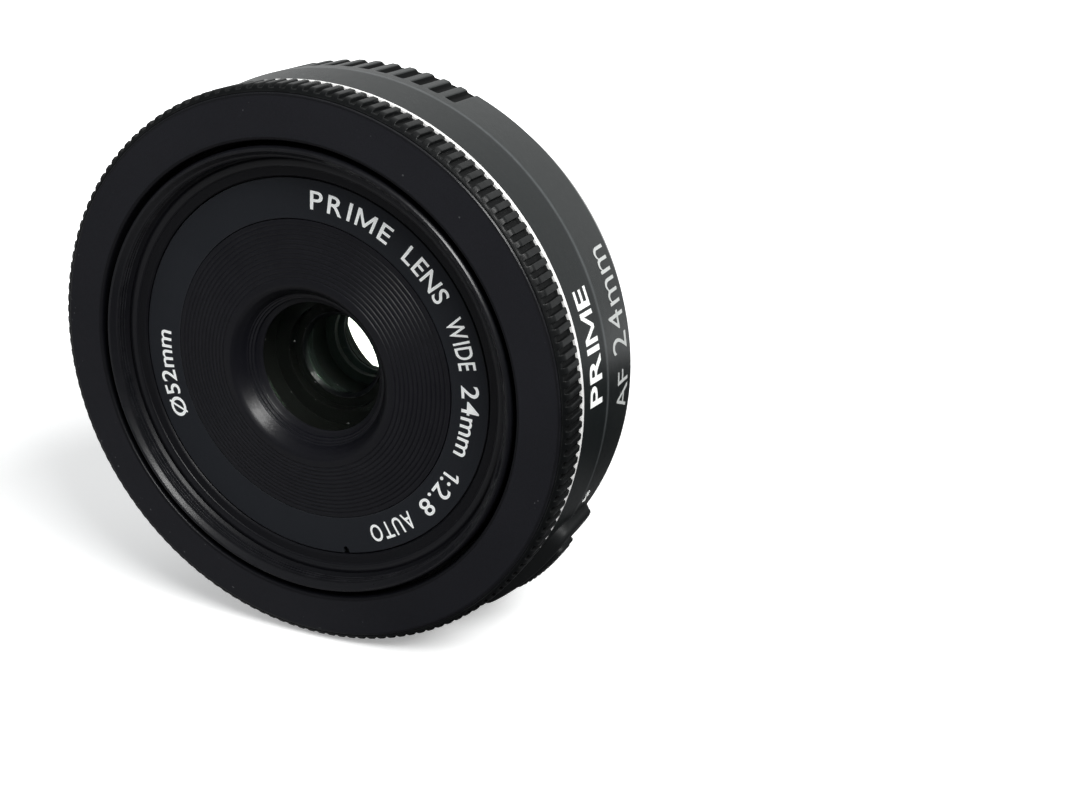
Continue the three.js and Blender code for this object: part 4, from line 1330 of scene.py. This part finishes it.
# object, (characters, start angle, end angle, height, bold), baseline, material
BARREL_PRINTS = (
    ("barrel_focal_print", ("24mm", 5.6, 26.6, 4.2, -0.004), 5.25, "grey_print"),
    ("barrel_drive_print", ("AF", -6.6, 1.8, 3.1, -0.004), 5.25, "grey_print"),
    ("barrel_type_print", ("PRIME", -1.5, 21.6, 2.5, 0.014), 12.9, "white_print"),
    ("switch_print_af", ("AF", -27.0, -23.6, 1.4, 0.0), 8.9, "white_print"),
    ("switch_print_mf", ("MF", -64.6, -60.9, 1.4, 0.0), 8.9, "white_print"),
)
for name, entry, baseline, mat in BARREL_PRINTS:
    letters = word(*entry, widest=1.5, radius=BARREL_R, direction=1)
    put(lettering(name, letters, on_barrel(baseline), mat), "lens_body", "barrel_plastic")

# ---------------------------------------------------------------- finishes of the CAD nodes
slot_of = {
    part["node"]: part.get("material_slot") or part.get("slot") or part.get("material")
    for part in frame["record"].get("subparts", [])
}


def cad_finish(node):
    """The finish of the node's slot, or one that suits its name."""
    slot = slot_of.get(node)
    if slot == "optical_glass":
        slot = "optical_glass_inner"
    if slot in FINISH:
        return FINISH[slot]
    if "blade" in node or node == "iris_ring":
        return FINISH["blade_metal"]
    if "gear" in node:
        return FINISH["gear_plastic"]
    if "pinion" in node:
        return FINISH["pinion_brass"]
    if node == "circuit_board":
        return FINISH["board"]
    if node == "flex_cable":
        return FINISH["flex_film"]
    steel_nodes = ("focus_motor", "iris_motor", "motor_bracket", "idler_axle")
    return FINISH["steel" if node in steel_nodes or "roller" in node else "inner_plastic"]


for node, ob in frame["nodes"].items():
    ob["from_cad"] = 1.0
    ob.data.materials.clear()
    ob.data.materials.append(cad_finish(node))
    if not ob.hide_render:
        shade_smooth(ob.data)
        sharpen(ob.data, angle=28)

# ---------------------------------------------------------------- floor (metres from here on)
FLOOR_Z = float(size_before[0].z) - 0.00002


def floor_material(name, base):
    """The camera sees a bright sweep that glows as painted light; the lens gets a weaker bounce
    from it, with painted shade in places.
    """
    tree, point = new_material(name)
    cloud = tree.noise(point, scale=0.02, detail=3.0, rough=0.5)
    colour = tree.mix(tree.times(cloud, 0.2), base, shade(base, 0.985))
    relief = tree.noise(point, scale=1.5)
    seen = tree.surface(colour, rough=0.7, height=relief, bump=0.01, spec=0.0)
    x, y, _ = tree.components(tree.add("NewGeometry", output="Position"))
    far = tree.times(tree.minus(tree.distance(x, y), 0.07), 5.0, clamp=True)
    # painted light: the floor glows for the camera, more far from the lens, and much more where it
    # is seen through glass
    depth = tree.add("LightPath", output="Transparent Depth")
    through_glass = tree.times(tree.math("MINIMUM", depth, 1.0), 5.0)
    lift = tree.plus(tree.times_plus(far, factor=1.1, offset=0.30), through_glass)
    seen = tree.add("AddShader", {0: seen, 1: tree.add("Emission", {"Strength": lift})})
    # bounce: bright behind the lens; painted shade darkens it in front of the lens and, most,
    # beside it towards +X
    behind = tree.times(tree.plus(y, 0.02), 16.0, clamp=True)
    bounce = tree.mix(behind, (0.26, 0.26, 0.27), (0.80, 0.81, 0.82))
    beside = tree.times(tree.plus(x, 0.002), 70.0, clamp=True)
    before = tree.times(tree.minus(0.075, y), 50.0, clamp=True)
    dark = tree.times(tree.times(beside, before), 0.9)
    bounce = tree.mix(dark, bounce, (0.05, 0.05, 0.052))
    dull = tree.add("BsdfDiffuse", {"Color": bounce})
    to_camera = tree.add("LightPath", output="Is Camera Ray")
    tree.finish(tree.mix_shader(to_camera, dull, seen))


floor_material("floor_white", base=(0.93, 0.935, 0.94))
floor_line = np.linspace(-1.6, 1.6, 24)
floor_x, floor_y = np.meshgrid(floor_line, floor_line, indexing="ij")
floor_points = np.stack([floor_x, floor_y, np.full_like(floor_x, FLOOR_Z)], -1)
grid("floor", floor_points, ("floor_white",), closed=False)


# ---------------------------------------------------------------- world
def studio_world():
    """Soft room, brighter behind and above; the camera itself sees plain white."""
    world = bpy.data.worlds.new("studio")
    bpy.context.scene.world = world
    tree = Tree(world)
    _, y, z = tree.components(tree.add("TexCoord", output="Generated"))
    behind = tree.times_plus(y, factor=1.95, offset=-0.50, clamp=True)
    above = tree.times_plus(z, factor=0.12, offset=0.11)
    strength = tree.math("MAXIMUM", tree.times_plus(behind, 0.62, above), 0.05)
    soft = tree.add("Background", {"Color": (0.985, 1.0, 0.995), "Strength": strength})
    white = tree.add("Background", {"Color": (1, 1, 1), "Strength": 1.6})
    to_camera = tree.add("LightPath", output="Is Camera Ray")
    tree.finish(tree.mix_shader(to_camera, soft, white), kind="OutputWorld")


studio_world()


# ---------------------------------------------------------------- lights
def area_light(name, direction, distance, size, power, colour=(1, 1, 1)):
    """Rectangular light that faces the scene origin."""
    direction = Vector(direction).normalized()
    light = bpy.data.lights.new(name, "AREA")
    light.shape = "RECTANGLE"
    light.size, light.size_y = size
    light.energy = power
    light.color = colour
    ob = link(name, light)
    ob.location = direction * distance
    ob.rotation_mode = "QUATERNION"
    ob.rotation_quaternion = direction.to_track_quat("Z", "Y")
    return ob


area_light(
    "key", direction=(0.66, -0.38, 0.66), distance=0.55, size=(0.26, 0.20), power=3.2,
    colour=(1.0, 1.0, 0.99),
)
area_light("top", direction=(0.10, 0.25, 1.0), distance=0.75, size=(0.9, 0.7), power=0.9)
fill = area_light(
    "fill", direction=(-0.75, -0.60, 0.38), distance=0.85, size=(0.5, 0.6), power=1.9,
    colour=(0.96, 0.98, 1.0),
)
fill.visible_glossy = False


# ---------------------------------------------------------------- dark cards, seen in reflections
def card_material(name):
    """Nearly black, fading out towards -X and upwards."""
    tree, point = new_material(name)
    x, _, z = tree.components(tree.add("NewGeometry", output="Position"))
    fade = tree.times(tree.minus(x, 0.027), 90.0, clamp=True)
    fade = tree.times(fade, tree.times(tree.minus(-0.003, z), 150.0, clamp=True))
    cloud = tree.noise(point, scale=0.1)
    colour = tree.mix(cloud, (0.004, 0.004, 0.004), (0.008, 0.008, 0.008))
    dark = tree.add("BsdfDiffuse", {"Color": colour})
    tree.finish(tree.mix_shader(fade, tree.add("BsdfTransparent"), dark))


card_material("dark_card")
flat_card = [
    [(x, y, -0.013 - 0.02 * (x - 0.043)) for y in np.linspace(-0.075, 0.046, 9)]
    for x in np.linspace(0.043, 0.125, 9)
]
upright_card = [
    [(x, 0.028 + 0.01 * (x - 0.026), z) for z in np.linspace(FLOOR_Z, -0.003, 7)]
    for x in np.linspace(0.026, 0.125, 9)
]
# painted shade: near-black cards, unseen by the camera and casting no shadow, darken what the lens
# reflects on its +X side, low down
for name, points in (("dark_card", flat_card), ("dark_card_behind", upright_card)):
    card = grid(name, np.array(points), ("dark_card",), closed=False)
    card.visible_camera = card.visible_shadow = False
    card.visible_diffuse = card.visible_transmission = False

# ---------------------------------------------------------------- camera and render settings
camera_data = bpy.data.cameras.new("camera")
camera = link("camera", camera_data)
camera_data.sensor_width = 36.0
camera_data.lens = 47.87
camera_data.clip_start, camera_data.clip_end = 0.005, 20.0
camera.matrix_world = Matrix(
    (
        (0.91741, -0.14365, 0.37110, 0.08758),
        (0.39793, 0.33118, -0.85555, -0.14651),
        (0.0, 0.93257, 0.36099, 0.05721),
        (0, 0, 0, 1),
    )
)
scene = bpy.context.scene
scene.camera = camera
scene.view_settings.view_transform = "Standard"
scene.view_settings.look = "None"
scene.view_settings.exposure = 0.0
scene.view_settings.gamma = 1.0
scene.cycles.transparent_max_bounces = 24
scene.cycles.max_bounces = 8
